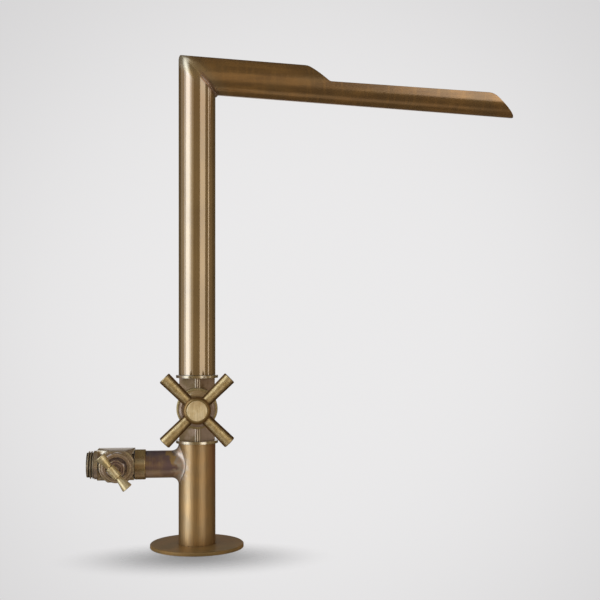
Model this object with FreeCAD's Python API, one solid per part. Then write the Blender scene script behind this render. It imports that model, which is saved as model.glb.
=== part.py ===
"""Cross handle tap with a side stop valve and an open channel spout.

Frame: millimetres, +Z up. The origin is the centre of the flange's underside, on the deck.
The spout runs along +X, the branch with the side valve along -X, and both handles face -Y.
Pieces on a handle's axis are turned on a local axis whose height is the distance out from
the column's or the branch's centre line, towards -Y.
"""

import FreeCAD
import Part
import math
import os

Vector = FreeCAD.Vector

# ---- clearances between pieces -------------------------------------------------------------
BRAZE_GAP = 0.05        # radial, between pieces that are brazed or screwed together
RUNNING_GAP = 0.05      # radial, between a shaft and the hole it turns in
FACE_GAP = 0.05         # axial, between faces that slide on each other
OVERSHOOT = 1.0         # how far a cutting tool runs past the face it starts from
TOOL_TOUCH = 0.02       # keeps a tool just off a tube that it must not graze
THREAD_CREST = 0.22     # flat top of a thread, as a part of its pitch
THREAD_FLANK = 0.3      # each sloping side of a thread, as a part of its pitch

# ---- tube stock ----------------------------------------------------------------------------
COLUMN_OD = 28.0
COLUMN_WALL = 1.5
BRANCH_OD = 20.6
BRANCH_WALL = 1.5

# ---- foot ----------------------------------------------------------------------------------
FLANGE_D = 71.0
FLANGE_THICK = 2.6
FLANGE_EDGE = 0.5       # chamfer on the upper rim
GASKET_ID = 44.0
GASKET_OD = 62.0
GASKET_THICK = 1.4
PLUG_HEIGHT = 16.0
PLUG_OFFSET = 5.6       # supply hole to one side of the centre, stud hole to the other
SUPPLY_HOLE_D = 9.0     # core of an M10 x 1 hose tail thread
STUD_HOLE_D = 6.8       # core of an M8 stud thread
STUD_HOLE_DEPTH = 12.0

# ---- heights along the column --------------------------------------------------------------
LOWER_COLUMN_TOP = 79.1
COLLAR_D = 32.0
COLLAR_THICK = 2.0
COLLAR_SPIGOT = 4.0     # how far the lower collar reaches into the lower column
COLLAR_BORE = 20.0
BODY_HEIGHT = 47.5
AXIS_ABOVE_BODY_FOOT = 25.2
SPOUT_AXIS_HEIGHT = 359.0   # where the column's and the spout's centre lines meet

# ---- branch --------------------------------------------------------------------------------
BRANCH_HEIGHT = 63.0
BRANCH_FILLET = 5.0
BRANCH_REACH = 47.1     # column centre to the face of the side valve's block
COUPLING_D = 22.8
COUPLING_LENGTH = 8.1
COUPLING_EDGE = 0.5
COUPLING_SOCKET = 6.0
COUPLING_BORE = 11.0

# ---- valve body and its boss ---------------------------------------------------------------
BODY_SIDE = 20.5        # square bar, turned so that an edge faces the front
BODY_EDGE = 2.4
BOSS_D = 30.6
BOSS_BACK = 3.5
BOSS_FRONT = 19.0
BOSS_EDGE = 0.8
WATERWAY_D = 9.0
WATERWAY_BACK = 4.0     # the rising waterway lies this far behind the centre
WATERWAY_FRONT = 5.0    # the outgoing waterway lies this far in front of it

# ---- quarter-turn headwork -----------------------------------------------------------------
HEADWORK_NOSE_D = 17.2
HEADWORK_NOSE_START = 0.6
HEADWORK_NOSE_END = 9.0
HEADWORK_THREAD_D = 20.9
HEADWORK_FLANGE_D = 22.6
HEADWORK_FLANGE_THICK = 1.5
HEADWORK_GASKET_THICK = 0.5
HEADWORK_HEX = 17.0
HEADWORK_HEX_LENGTH = 3.0
HEADWORK_HEX_EDGE = 0.6
HEADWORK_NECK_D = 14.0
HEADWORK_NECK_END = 26.5
DISC_CHAMBER_D = 13.0
DISC_CHAMBER_END = 11.0
DISC_D = 12.8
DISC_THICK = 2.9
DISC_PORT_IN = 1.8
DISC_PORT_OUT = 5.0
DISC_PORT_SPAN = 80.0
DISC_SLOT_WIDTH = 2.8
DISC_SLOT_LENGTH = 9.2
DISC_SLOT_DEPTH = 1.0
SEAL_THICK = 2.4
SEAL_BORE = 8.6
WINDOW_WIDTH = 8.0
SPINDLE_BORE = 8.0
SPINDLE_FLANGE_D = 12.6
SPINDLE_FLANGE_THICK = 2.0
SPINDLE_SQUARE = 5.6
SPINDLE_TAPPED_D = 3.3
SPINDLE_TAPPED_DEPTH = 9.0
SPINDLE_CLIP_GROOVE_D = 6.4
SPINDLE_CLIP_D = 10.4
CLIP_THICK = 0.8
CLIP_MOUTH = 4.4        # the open side by which the clip is pushed on
ORING_SECTION = 1.2

# ---- shroud over the headwork --------------------------------------------------------------
SHROUD_BACK_D = 27.4
SHROUD_FRONT_D = 26.0
SHROUD_FACE_D = 23.6
SHROUD_FRONT = 27.0
SHROUD_EDGE = 1.2
SHROUD_BORE = 23.0
SHROUD_WALL = 2.4

# ---- cross handle --------------------------------------------------------------------------
HUB_D = 20.0
HUB_BACK = 28.5
HUB_LENGTH = 12.0
HUB_FRONT_EDGE = 1.7
HUB_BACK_EDGE = 0.8
HUB_SOCKET_DEPTH = 7.1
HUB_WEB = 1.6
HUB_COUNTERBORE = 11.0
CAP_D = 14.9
CAP_SEAT_DEPTH = 1.0
CAP_THICK = 1.7
CAP_EDGE = 0.35
CAP_SKIRT_WALL = 1.2
CAP_SKIRT_DEPTH = 1.5
ARM_COUNT = 4
ARM_REACH = 33.6        # handle axis to the arm's flat end
ARM_ROOT_D = 8.2
ARM_TIP_D = 9.6
ARM_TIP_EDGE = 0.5
ARM_SPIGOT_D = 4.0
ARM_SPIGOT_LENGTH = 3.2
HANDLE_SCREW_D = 3.2
HANDLE_SCREW_HEAD_D = 7.0
HANDLE_SCREW_HEAD = 2.0
HANDLE_SCREW_KEY = 2.5
HANDLE_SCREW_LENGTH = 8.0

# ---- swivel joint at the foot of the upper column ------------------------------------------
SPIGOT_THREAD_D = 16.0
SPIGOT_THREAD_LENGTH = 7.0
SPIGOT_SHOULDER_D = 22.0
SPIGOT_SHOULDER = 2.0
SPIGOT_D = 18.0
SPIGOT_BORE = 11.0
SPIGOT_TOP_MARGIN = 3.0
SWIVEL_BUSH_LENGTH = 18.0
SWIVEL_WASHER_THICK = 0.5
SWIVEL_CLIP_THICK = 1.0
SWIVEL_CLIP_D = 21.0
SWIVEL_CLIP_GROOVE_D = 16.0
SWIVEL_CLIP_MOUTH = 5.4
SWIVEL_ORING_SECTION = 1.4
COLUMN_FOOT_GAP = 0.2

# ---- spout ---------------------------------------------------------------------------------
SPOUT_FALL_DEG = 3.07
SPOUT_CLOSED_LENGTH = 82.2  # mitre to the corner where the top starts to be cut away
CUT_SLOPE_DEG = 37.0
CUT_TOP_ROUND = 12.0
CUT_FOOT_ROUND = 4.0
RIM_RISE_HEAD = 0.1         # rim above the pipe's centre line, where the channel starts
RIM_RISE_END = 1.3          # the same at the nose
SPOUT_RIM_END = 228.2       # mitre to the corner where the rim turns down
NOSE_SLOPE_DEG = 37.5
NOSE_ROUND = 12.0
MITRE_CORNER_ROUND = 4.0

# ---- side stop valve -----------------------------------------------------------------------
BLOCK_LENGTH = 27.9
BLOCK_SIDE = 23.0
BLOCK_EDGE = 0.4
BLOCK_FRONT = 3.0           # branch centre to where the block is turned round
SHOULDER_D = 26.8
SHOULDER_FRONT = 13.6
SHOULDER_EDGE = 0.5
SIDE_AXIS_OFFSET = 1.8      # valve axis to the block's middle, towards the column
COUPLING_WASHER_THICK = 0.5
COUPLING_WASHER_OD = 21.6
OUTLET_THREAD_D = 20.955    # G 1/2
OUTLET_THREAD_CORE = 18.631
OUTLET_THREAD_PITCH = 1.814
OUTLET_LENGTH = 7.5
OUTLET_NECK_D = 21.5        # plain neck between the block and the thread
OUTLET_NECK = 1.9
OUTLET_BORE = 11.0
BALL_D = 16.0
BALL_BORE = 9.0
BALL_CHAMBER_D = 17.0
BALL_SLOT_WIDTH = 3.1
BALL_SLOT_FLOOR = 5.1       # ball centre to the floor of the slot that the stem turns
SEAT_OUTER = 9.5            # ball centre to the back of a seat ring
SEAT_INNER = 5.2
SEAT_BORE = 9.5
SEAT_CLEARANCE = 0.05
BONNET_NOSE_D = 15.9
BONNET_NOSE_START = 8.8
BONNET_D = 22.4
BONNET_THICK = 6.2
BONNET_EDGE = 0.7
BONNET_DISH_D = 16.4        # round dish in its front, around the gland screw
BONNET_DISH_DEPTH = 2.6
GLAND_BORE_D = 9.0
GLAND_BORE_START = 12.2
PACKING_THICK = 2.0
STEM_D = 5.4
STEM_FOOT_D = 9.8
STEM_FOOT_THICK = 2.0
STEM_TANG_WIDTH = 6.5
GLAND_FLATS = 12.4
GLAND_HEAD_GAP = 1.0        # dish floor to the back of the hexagon
GLAND_HEAD_LENGTH = 8.0
GLAND_EDGE = 0.8

# ---- T handle ------------------------------------------------------------------------------
T_BAR_OUT = 41.9            # branch centre to the bar's centre line
T_BAR_ANGLE_DEG = -50.0     # the bar slopes down to the right as the tap is photographed
T_BARREL_D = 6.8
T_BARREL_LENGTH = 9.0
T_STEM_PIN_D = 3.6
T_ARM_REACH = 15.0
T_ARM_ROOT_D = 4.0
T_ARM_TIP_D = 8.0
T_ARM_TIP_EDGE = 0.4
T_ARM_SPIGOT_D = 2.4
T_ARM_SPIGOT_LENGTH = 1.8

# ---- places worked out from the sizes above ------------------------------------------------
COLUMN_R = COLUMN_OD / 2
COLUMN_BORE_R = COLUMN_R - COLUMN_WALL
BRANCH_R = BRANCH_OD / 2
BODY_FOOT = LOWER_COLUMN_TOP + COLLAR_THICK
BODY_TOP = BODY_FOOT + BODY_HEIGHT
UPPER_COLLAR_TOP = BODY_TOP + COLLAR_THICK
HANDLE_HEIGHT = BODY_FOOT + AXIS_ABOVE_BODY_FOOT
BLOCK_RIGHT = -BRANCH_REACH
BLOCK_LEFT = BLOCK_RIGHT - BLOCK_LENGTH
SIDE_AXIS_REACH = BRANCH_REACH + BLOCK_LENGTH / 2 - SIDE_AXIS_OFFSET
SIDE_AXIS_X = -SIDE_AXIS_REACH
SPINDLE_D = SPINDLE_BORE - 2 * RUNNING_GAP
FIXED_DISC_START = SEAL_THICK + FACE_GAP
MOVING_DISC_START = FIXED_DISC_START + DISC_THICK + FACE_GAP
SPINDLE_FLANGE_START = MOVING_DISC_START + DISC_THICK + FACE_GAP
HUB_FRONT = HUB_BACK + HUB_LENGTH
HEX_START = BOSS_FRONT + HEADWORK_GASKET_THICK + HEADWORK_FLANGE_THICK
HEX_END = HEX_START + HEADWORK_HEX_LENGTH
SWIVEL_BUSH_FOOT = UPPER_COLLAR_TOP + SPIGOT_SHOULDER + SWIVEL_WASHER_THICK + 2 * FACE_GAP
SWIVEL_BUSH_TOP = SWIVEL_BUSH_FOOT + SWIVEL_BUSH_LENGTH
SPIGOT_TOP = SWIVEL_BUSH_TOP + SWIVEL_CLIP_THICK + SPIGOT_TOP_MARGIN
BONNET_FRONT = SHOULDER_FRONT + BONNET_THICK
DISH_FLOOR = BONNET_FRONT - BONNET_DISH_DEPTH
GLAND_BACK = DISH_FLOOR + GLAND_HEAD_GAP
GLAND_FRONT = GLAND_BACK + GLAND_HEAD_LENGTH
STEM_FOOT_START = BONNET_NOSE_START + 2 * FACE_GAP


# ---- helpers -------------------------------------------------------------------------------
def turned(profile):
    """A solid of revolution about Z from (radius, height) points, all on one side."""
    points = [Vector(radius, 0, height) for radius, height in profile]
    face = Part.Face(Part.makePolygon(points + [points[0]]))
    return face.revolve(Vector(0, 0, 0), Vector(0, 0, 1), 360)


def ring(outer_d, inner_d, start, end):
    """A plain turned ring, or a disc where inner_d is 0."""
    outer = Part.makeCylinder(outer_d / 2, end - start, Vector(0, 0, start))
    if inner_d <= 0:
        return outer
    return outer.cut(rod(inner_d, start - OVERSHOOT, end + OVERSHOOT))


def rod(diameter, start, end):
    """A plain cylinder about Z, also used to cut holes."""
    return Part.makeCylinder(diameter / 2, end - start, Vector(0, 0, start))


def block(size_x, size_y, start, end):
    """A box centred on Z."""
    return Part.makeBox(size_x, size_y, end - start, Vector(-size_x / 2, -size_y / 2, start))


def prism(sides, flats, start, end):
    """A regular prism about Z with the given distance across its flats."""
    corner_r = flats / 2 / math.cos(math.pi / sides)
    points = []
    for i in range(sides):
        angle = 2 * math.pi * (i + 1 / 2) / sides
        points.append(Vector(corner_r * math.cos(angle), corner_r * math.sin(angle), start))
    face = Part.Face(Part.makePolygon(points + [points[0]]))
    return face.extrude(Vector(0, 0, end - start))


def chamfered_hexagon(flats, start, end, edge):
    """A hexagon bar whose front corners are turned off by a cone, as on a nut."""
    corner_r = flats / math.sqrt(3)
    cone = turned([
        (0, start),
        (corner_r, start),
        (corner_r, end - edge / 2),
        (corner_r - edge, end),
        (0, end),
    ])
    return prism(6, flats, start, end).common(cone)


def thread_profile(major_d, core_d, pitch, start, end):
    """(radius, height) points of a male thread's outline, as grooves one pitch apart."""
    crest = pitch * THREAD_CREST
    flank = pitch * THREAD_FLANK
    core_r = core_d / 2
    major_r = major_d / 2
    points = [(core_r, start)]
    height = start + flank / 2
    while height + crest + 2 * flank < end:
        points.append((core_r, height))
        points.append((major_r, height + flank))
        points.append((major_r, height + flank + crest))
        points.append((core_r, height + 2 * flank + crest))
        height += pitch
    points.append((core_r, end))
    return points


def oring(inside_r, section, height):
    """A seal ring of round section whose inner edge lies at inside_r."""
    return Part.makeTorus(inside_r + section / 2, section / 2, Vector(0, 0, height))


def sector(inner_r, outer_r, middle_deg, span_deg, start, end):
    """A slice of a ring about Z, used for the ports in the ceramic discs."""
    height = end - start
    slice_solid = Part.makeCylinder(
        outer_r, height, Vector(0, 0, start), Vector(0, 0, 1), span_deg)
    slice_solid = slice_solid.cut(rod(2 * inner_r, start - OVERSHOOT, end + OVERSHOOT))
    slice_solid.rotate(Vector(0, 0, 0), Vector(0, 0, 1), middle_deg - span_deg / 2)
    return slice_solid


def facing_front(shape, x, z):
    """Turns a piece made about Z so that its height runs towards -Y, and puts it at x, z."""
    placed = shape.copy()
    placed.rotate(Vector(0, 0, 0), Vector(1, 0, 0), 90)
    placed.translate(Vector(x, 0, z))
    return placed


def on_handle_axis(shape):
    return facing_front(shape, 0, HANDLE_HEIGHT)


def on_side_axis(shape):
    return facing_front(shape, SIDE_AXIS_X, BRANCH_HEIGHT)


def along_branch(shape):
    """Turns a piece made about Z so that its height runs along the branch, towards -X."""
    placed = shape.copy()
    placed.rotate(Vector(0, 0, 0), Vector(0, 1, 0), -90)
    placed.translate(Vector(0, 0, BRANCH_HEIGHT))
    return placed


def rounded_wire(corners):
    """A closed XZ outline from (x, z, radius) corners, each rounded by its own radius."""
    count = len(corners)
    starts = []
    ends = []
    middles = []
    for i in range(count):
        before = Vector(corners[i - 1][0], 0, corners[i - 1][1])
        here = Vector(corners[i][0], 0, corners[i][1])
        after = Vector(corners[(i + 1) % count][0], 0, corners[(i + 1) % count][1])
        radius = corners[i][2]
        back = (before - here).normalize()
        ahead = (after - here).normalize()
        half = back.getAngle(ahead) / 2
        reach = radius / math.tan(half) if radius else 0.0
        starts.append(here + back * reach)
        ends.append(here + ahead * reach)
        inward = (back + ahead).normalize()
        middles.append(here + inward * (radius / math.sin(half) - radius) if radius else here)
    edges = []
    for i in range(count):
        if corners[i][2]:
            edges.append(Part.Arc(starts[i], middles[i], ends[i]).toShape())
        edges.append(Part.LineSegment(ends[i], starts[(i + 1) % count]).toShape())
    return Part.Wire(edges)


def cut_through(wire, half_width):
    """A tool with an XZ outline that runs from -half_width to +half_width along Y."""
    face = Part.Face(wire)
    face.translate(Vector(0, -half_width, 0))
    return face.extrude(Vector(0, 2 * half_width, 0))


def largest_solid(shape):
    """The one solid that a boolean leaves, without the compound around it."""
    return max(shape.Solids, key=lambda solid: solid.Volume)


# ---- foot ----------------------------------------------------------------------------------
def deck_flange():
    outer = FLANGE_D / 2
    column_hole = COLUMN_R + BRAZE_GAP
    plate = turned([
        (column_hole, 0),
        (outer, 0),
        (outer, FLANGE_THICK - FLANGE_EDGE),
        (outer - FLANGE_EDGE, FLANGE_THICK),
        (column_hole, FLANGE_THICK),
    ])
    return plate.cut(ring(GASKET_OD, GASKET_ID, -OVERSHOOT, GASKET_THICK))


def flange_gasket():
    return ring(GASKET_OD - 2 * BRAZE_GAP, GASKET_ID + 2 * BRAZE_GAP, 0, GASKET_THICK)


def inlet_plug():
    plug = rod(2 * (COLUMN_BORE_R - BRAZE_GAP), 0, PLUG_HEIGHT)
    supply = rod(SUPPLY_HOLE_D, -OVERSHOOT, PLUG_HEIGHT + OVERSHOOT)
    supply.translate(Vector(-PLUG_OFFSET, 0, 0))
    stud = rod(STUD_HOLE_D, -OVERSHOOT, STUD_HOLE_DEPTH)
    stud.translate(Vector(PLUG_OFFSET, 0, 0))
    return plug.cut(supply).cut(stud)


def lower_column():
    tube = ring(COLUMN_OD, 2 * COLUMN_BORE_R, 0, LOWER_COLUMN_TOP)
    opening = rod(2 * (BRANCH_R - BRANCH_WALL), 0, COLUMN_OD)
    return tube.cut(along_branch(opening))


# ---- branch --------------------------------------------------------------------------------
def branch_tube():
    """The stub with its flared foot, which is brazed to the column."""
    tube_end = BRANCH_REACH - COUPLING_WASHER_THICK - COUPLING_LENGTH + COUPLING_SOCKET
    outside = along_branch(rod(BRANCH_OD, 0, tube_end - BRAZE_GAP))
    column = rod(COLUMN_OD, BRANCH_HEIGHT - COLUMN_OD, BRANCH_HEIGHT + COLUMN_OD)
    joined = outside.fuse(column)
    seam = []
    for edge in joined.Edges:
        middle = edge.BoundBox.Center
        if -COLUMN_R < middle.x < -1 and abs(middle.z - BRANCH_HEIGHT) < BRANCH_R:
            if edge.BoundBox.XMin > -COLUMN_R - 1 and edge.BoundBox.ZLength > BRANCH_R / 2:
                if not isinstance(edge.Curve, Part.Line):
                    seam.append(edge)
    flared = joined.makeFillet(BRANCH_FILLET, seam)
    bore = along_branch(rod(2 * (BRANCH_R - BRANCH_WALL), 0, tube_end + OVERSHOOT))
    stub = flared.cut(column).cut(bore)
    return largest_solid(stub)


# ---- collars and valve body ----------------------------------------------------------------
def lower_collar():
    spigot = ring(2 * (COLUMN_BORE_R - BRAZE_GAP), COLLAR_BORE,
                  LOWER_COLUMN_TOP - COLLAR_SPIGOT, LOWER_COLUMN_TOP)
    disc = ring(COLLAR_D, COLLAR_BORE, LOWER_COLUMN_TOP, BODY_FOOT)
    return spigot.fuse(disc).removeSplitter()


def upper_collar():
    return ring(COLLAR_D, SPIGOT_D + 2 * BRAZE_GAP, BODY_TOP, UPPER_COLLAR_TOP)


def valve_body():
    bar = block(BODY_SIDE, BODY_SIDE, BODY_FOOT, BODY_TOP)
    upright = [edge for edge in bar.Edges if edge.BoundBox.ZLength > BODY_HEIGHT / 2]
    bar = bar.makeFillet(BODY_EDGE, upright)
    bar.rotate(Vector(0, 0, 0), Vector(0, 0, 1), 45)
    boss_r = BOSS_D / 2
    boss = turned([
        (0, BOSS_BACK),
        (boss_r - BOSS_EDGE, BOSS_BACK),
        (boss_r, BOSS_BACK + BOSS_EDGE),
        (boss_r, BOSS_FRONT - BOSS_EDGE),
        (boss_r - BOSS_EDGE, BOSS_FRONT),
        (0, BOSS_FRONT),
    ])
    body = bar.fuse(on_handle_axis(boss))
    nose_bore = rod(HEADWORK_NOSE_D + 2 * BRAZE_GAP, 0, BOSS_FRONT)
    thread_bore = rod(HEADWORK_THREAD_D + 2 * BRAZE_GAP, HEADWORK_NOSE_END, BOSS_FRONT + OVERSHOOT)
    seat_port = rod(WATERWAY_D, -WATERWAY_BACK, OVERSHOOT)
    for cavity in (nose_bore, thread_bore, seat_port):
        body = body.cut(on_handle_axis(cavity))
    rising = rod(WATERWAY_D, BODY_FOOT - OVERSHOOT, HANDLE_HEIGHT + WATERWAY_D / 2 + OVERSHOOT)
    rising.translate(Vector(0, WATERWAY_BACK, 0))
    outgoing = rod(WATERWAY_D, HANDLE_HEIGHT, BODY_TOP)
    outgoing.translate(Vector(0, -WATERWAY_FRONT, 0))
    spigot_hole = rod(SPIGOT_THREAD_D + 2 * BRAZE_GAP,
                      BODY_TOP - SPIGOT_THREAD_LENGTH - BRAZE_GAP, BODY_TOP + OVERSHOOT)
    return largest_solid(body.cut(rising).cut(outgoing).cut(spigot_hole))


# ---- headwork ------------------------------------------------------------------------------
def headwork_body():
    profile = [
        (HEADWORK_NOSE_D / 2, HEADWORK_NOSE_START),
        (HEADWORK_NOSE_D / 2, HEADWORK_NOSE_END + BRAZE_GAP),
        (HEADWORK_THREAD_D / 2, HEADWORK_NOSE_END + BRAZE_GAP),
        (HEADWORK_THREAD_D / 2, BOSS_FRONT + HEADWORK_GASKET_THICK),
        (HEADWORK_FLANGE_D / 2, BOSS_FRONT + HEADWORK_GASKET_THICK),
        (HEADWORK_FLANGE_D / 2, HEX_START),
        (HEADWORK_NECK_D / 2, HEX_START),
        (HEADWORK_NECK_D / 2, HEADWORK_NECK_END),
        (0, HEADWORK_NECK_END),
        (0, HEADWORK_NOSE_START),
    ]
    body = turned(profile)
    body = body.fuse(chamfered_hexagon(HEADWORK_HEX, HEX_START, HEX_END, HEADWORK_HEX_EDGE))
    body = body.cut(rod(DISC_CHAMBER_D, HEADWORK_NOSE_START - OVERSHOOT, DISC_CHAMBER_END))
    body = body.cut(rod(SPINDLE_BORE, DISC_CHAMBER_END - OVERSHOOT, HEADWORK_NECK_END + OVERSHOOT))
    window = block(WINDOW_WIDTH, HEADWORK_NOSE_D + 2, MOVING_DISC_START,
                   MOVING_DISC_START + DISC_THICK)
    return on_handle_axis(body.cut(window).removeSplitter())


def headwork_gasket():
    thickness = HEADWORK_GASKET_THICK
    inner = HEADWORK_THREAD_D + 2 * BRAZE_GAP
    return on_handle_axis(ring(HEADWORK_FLANGE_D, inner, BOSS_FRONT, BOSS_FRONT + thickness))


def seat_seal():
    return on_handle_axis(ring(DISC_D, SEAL_BORE, 0, SEAL_THICK))


def ported_disc(start, middle_deg):
    disc = rod(DISC_D, start, start + DISC_THICK)
    for side in (0, 180):
        port = sector(DISC_PORT_IN, DISC_PORT_OUT, middle_deg + side, DISC_PORT_SPAN,
                      start - OVERSHOOT, start + DISC_THICK + OVERSHOOT)
        disc = disc.cut(port)
    return disc


def fixed_disc():
    return on_handle_axis(ported_disc(FIXED_DISC_START, 90))


def moving_disc():
    """Its ports lie across the fixed disc's when the tap is shut, which is how it rests."""
    disc = ported_disc(MOVING_DISC_START, 0)
    end = MOVING_DISC_START + DISC_THICK
    slot = block(DISC_SLOT_WIDTH, DISC_SLOT_LENGTH, end - DISC_SLOT_DEPTH, end + OVERSHOOT)
    return on_handle_axis(disc.cut(slot))


def spindle():
    shaft_r = SPINDLE_D / 2
    groove_r = shaft_r - ORING_SECTION - RUNNING_GAP
    clip_r = SPINDLE_CLIP_GROOVE_D / 2
    flange_end = SPINDLE_FLANGE_START + SPINDLE_FLANGE_THICK
    seal_at = oring_height()
    half_groove = ORING_SECTION / 2 + BRAZE_GAP
    clip_start = HEADWORK_NECK_END + FACE_GAP
    clip_end = clip_start + CLIP_THICK + FACE_GAP
    shaft = turned([
        (0, SPINDLE_FLANGE_START),
        (SPINDLE_FLANGE_D / 2, SPINDLE_FLANGE_START),
        (SPINDLE_FLANGE_D / 2, flange_end),
        (shaft_r, flange_end),
        (shaft_r, seal_at - half_groove),
        (groove_r, seal_at - half_groove),
        (groove_r, seal_at + half_groove),
        (shaft_r, seal_at + half_groove),
        (shaft_r, clip_start),
        (clip_r, clip_start),
        (clip_r, clip_end),
        (shaft_r, clip_end),
        (shaft_r, HUB_BACK),
        (0, HUB_BACK),
    ])
    square_end = HUB_BACK + HUB_SOCKET_DEPTH - 2 * FACE_GAP
    square = block(SPINDLE_SQUARE, SPINDLE_SQUARE, HUB_BACK, square_end)
    tongue = block(DISC_SLOT_WIDTH - 2 * FACE_GAP, DISC_SLOT_LENGTH - 2 * FACE_GAP,
                   SPINDLE_FLANGE_START - DISC_SLOT_DEPTH, SPINDLE_FLANGE_START)
    tapped = rod(SPINDLE_TAPPED_D, square_end - SPINDLE_TAPPED_DEPTH, square_end + OVERSHOOT)
    return on_handle_axis(shaft.fuse(square).fuse(tongue).cut(tapped).removeSplitter())


def oring_height():
    """The spindle's seal lies half way along the bore that it turns in."""
    return (DISC_CHAMBER_END + HEADWORK_NECK_END) / 2


def spindle_oring():
    inside_r = SPINDLE_D / 2 - ORING_SECTION
    return on_handle_axis(oring(inside_r, ORING_SECTION, oring_height()))


def spindle_clip():
    start = HEADWORK_NECK_END + FACE_GAP
    clip = ring(SPINDLE_CLIP_D, SPINDLE_CLIP_GROOVE_D + 2 * BRAZE_GAP, start, start + CLIP_THICK)
    mouth = block(CLIP_MOUTH, SPINDLE_CLIP_D, start - OVERSHOOT, start + CLIP_THICK + OVERSHOOT)
    mouth.translate(Vector(0, SPINDLE_CLIP_D / 2, 0))
    return on_handle_axis(clip.cut(mouth))


def headwork_shroud():
    bore_end = SHROUD_FRONT - SHROUD_WALL
    neck_r = HEADWORK_NECK_D / 2 + BRAZE_GAP
    shroud = turned([
        (SHROUD_BORE / 2, BOSS_FRONT),
        (SHROUD_BACK_D / 2, BOSS_FRONT),
        (SHROUD_FRONT_D / 2, SHROUD_FRONT - SHROUD_EDGE),
        (SHROUD_FACE_D / 2, SHROUD_FRONT),
        (neck_r, SHROUD_FRONT),
        (neck_r, bore_end),
        (SHROUD_BORE / 2, bore_end),
    ])
    return on_handle_axis(shroud)


# ---- cross handle --------------------------------------------------------------------------
def arm_root_radius():
    """The flat that each arm seats on lies just under the hub's round side."""
    half = ARM_ROOT_D / 2 + BRAZE_GAP
    return math.sqrt((HUB_D / 2) ** 2 - half ** 2)


def arm_axis_out():
    return (HUB_BACK + HUB_FRONT) / 2


def arm_angles():
    return [45 + 360 * i / ARM_COUNT for i in range(ARM_COUNT)]


def across_handle(shape, angle_deg, out):
    """Lays a piece made about Z across the handle's axis, at an angle seen from the front."""
    placed = shape.copy()
    placed.rotate(Vector(0, 0, 0), Vector(0, 1, 0), 90 - angle_deg)
    placed.translate(Vector(0, -out, 0))
    return placed


def handle_hub():
    hub_r = HUB_D / 2
    cap_floor = HUB_FRONT - CAP_SEAT_DEPTH
    web_end = HUB_BACK + HUB_SOCKET_DEPTH + HUB_WEB
    hub = turned([
        (0, HUB_BACK),
        (hub_r - HUB_BACK_EDGE, HUB_BACK),
        (hub_r, HUB_BACK + HUB_BACK_EDGE),
        (hub_r, HUB_FRONT - HUB_FRONT_EDGE),
        (hub_r - HUB_FRONT_EDGE / 2, HUB_FRONT - HUB_FRONT_EDGE / 3),
        (hub_r - HUB_FRONT_EDGE, HUB_FRONT),
        (0, HUB_FRONT),
    ])
    side = SPINDLE_SQUARE + 2 * BRAZE_GAP
    hub = hub.cut(block(side, side, HUB_BACK - OVERSHOOT, HUB_BACK + HUB_SOCKET_DEPTH))
    hub = hub.cut(rod(HANDLE_SCREW_D + 4 * BRAZE_GAP, HUB_BACK, HUB_FRONT))
    hub = hub.cut(rod(HUB_COUNTERBORE, web_end, HUB_FRONT + OVERSHOOT))
    hub = hub.cut(rod(CAP_D + 2 * BRAZE_GAP, cap_floor, HUB_FRONT + OVERSHOOT))
    hub = on_handle_axis(hub)
    root = arm_root_radius()
    drilled = rod(ARM_SPIGOT_D + 2 * BRAZE_GAP, root - ARM_SPIGOT_LENGTH - BRAZE_GAP, HUB_D)
    faced = rod(ARM_ROOT_D + 2 * BRAZE_GAP, root, HUB_D)
    for angle in arm_angles():
        for tool in (drilled, faced):
            placed = across_handle(tool, angle, arm_axis_out())
            placed.translate(Vector(0, 0, HANDLE_HEIGHT))
            hub = hub.cut(placed)
    return largest_solid(hub)


def handle_arm(angle_deg):
    root = arm_root_radius()
    tip_r = ARM_TIP_D / 2
    arm = turned([
        (0, root - ARM_SPIGOT_LENGTH),
        (ARM_SPIGOT_D / 2, root - ARM_SPIGOT_LENGTH),
        (ARM_SPIGOT_D / 2, root),
        (ARM_ROOT_D / 2, root),
        (tip_r, ARM_REACH - ARM_TIP_EDGE),
        (tip_r - ARM_TIP_EDGE, ARM_REACH),
        (0, ARM_REACH),
    ])
    placed = across_handle(arm, angle_deg, arm_axis_out())
    placed.translate(Vector(0, 0, HANDLE_HEIGHT))
    return placed


def handle_screw():
    head_start = HUB_BACK + HUB_SOCKET_DEPTH + HUB_WEB
    shank = rod(HANDLE_SCREW_D, head_start - HANDLE_SCREW_LENGTH, head_start)
    head = rod(HANDLE_SCREW_HEAD_D, head_start, head_start + HANDLE_SCREW_HEAD)
    key = prism(6, HANDLE_SCREW_KEY, head_start + HANDLE_SCREW_HEAD / 3,
                head_start + HANDLE_SCREW_HEAD + OVERSHOOT)
    return on_handle_axis(shank.fuse(head).cut(key))


def index_cap():
    floor = HUB_FRONT - CAP_SEAT_DEPTH
    front = floor + CAP_THICK
    skirt_r = HUB_COUNTERBORE / 2 - BRAZE_GAP
    cap = turned([
        (skirt_r - CAP_SKIRT_WALL, floor - CAP_SKIRT_DEPTH),
        (skirt_r, floor - CAP_SKIRT_DEPTH),
        (skirt_r, floor),
        (CAP_D / 2, floor),
        (CAP_D / 2, front - CAP_EDGE),
        (CAP_D / 2 - CAP_EDGE, front),
        (0, front),
        (0, floor),
        (skirt_r - CAP_SKIRT_WALL, floor),
    ])
    return on_handle_axis(cap)


# ---- swivel joint --------------------------------------------------------------------------
def swivel_oring_heights():
    third = SWIVEL_BUSH_LENGTH / 3
    return [SWIVEL_BUSH_FOOT + third, SWIVEL_BUSH_FOOT + 2 * third]


def swivel_groove_r():
    return SPIGOT_D / 2 - SWIVEL_ORING_SECTION - RUNNING_GAP


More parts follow.
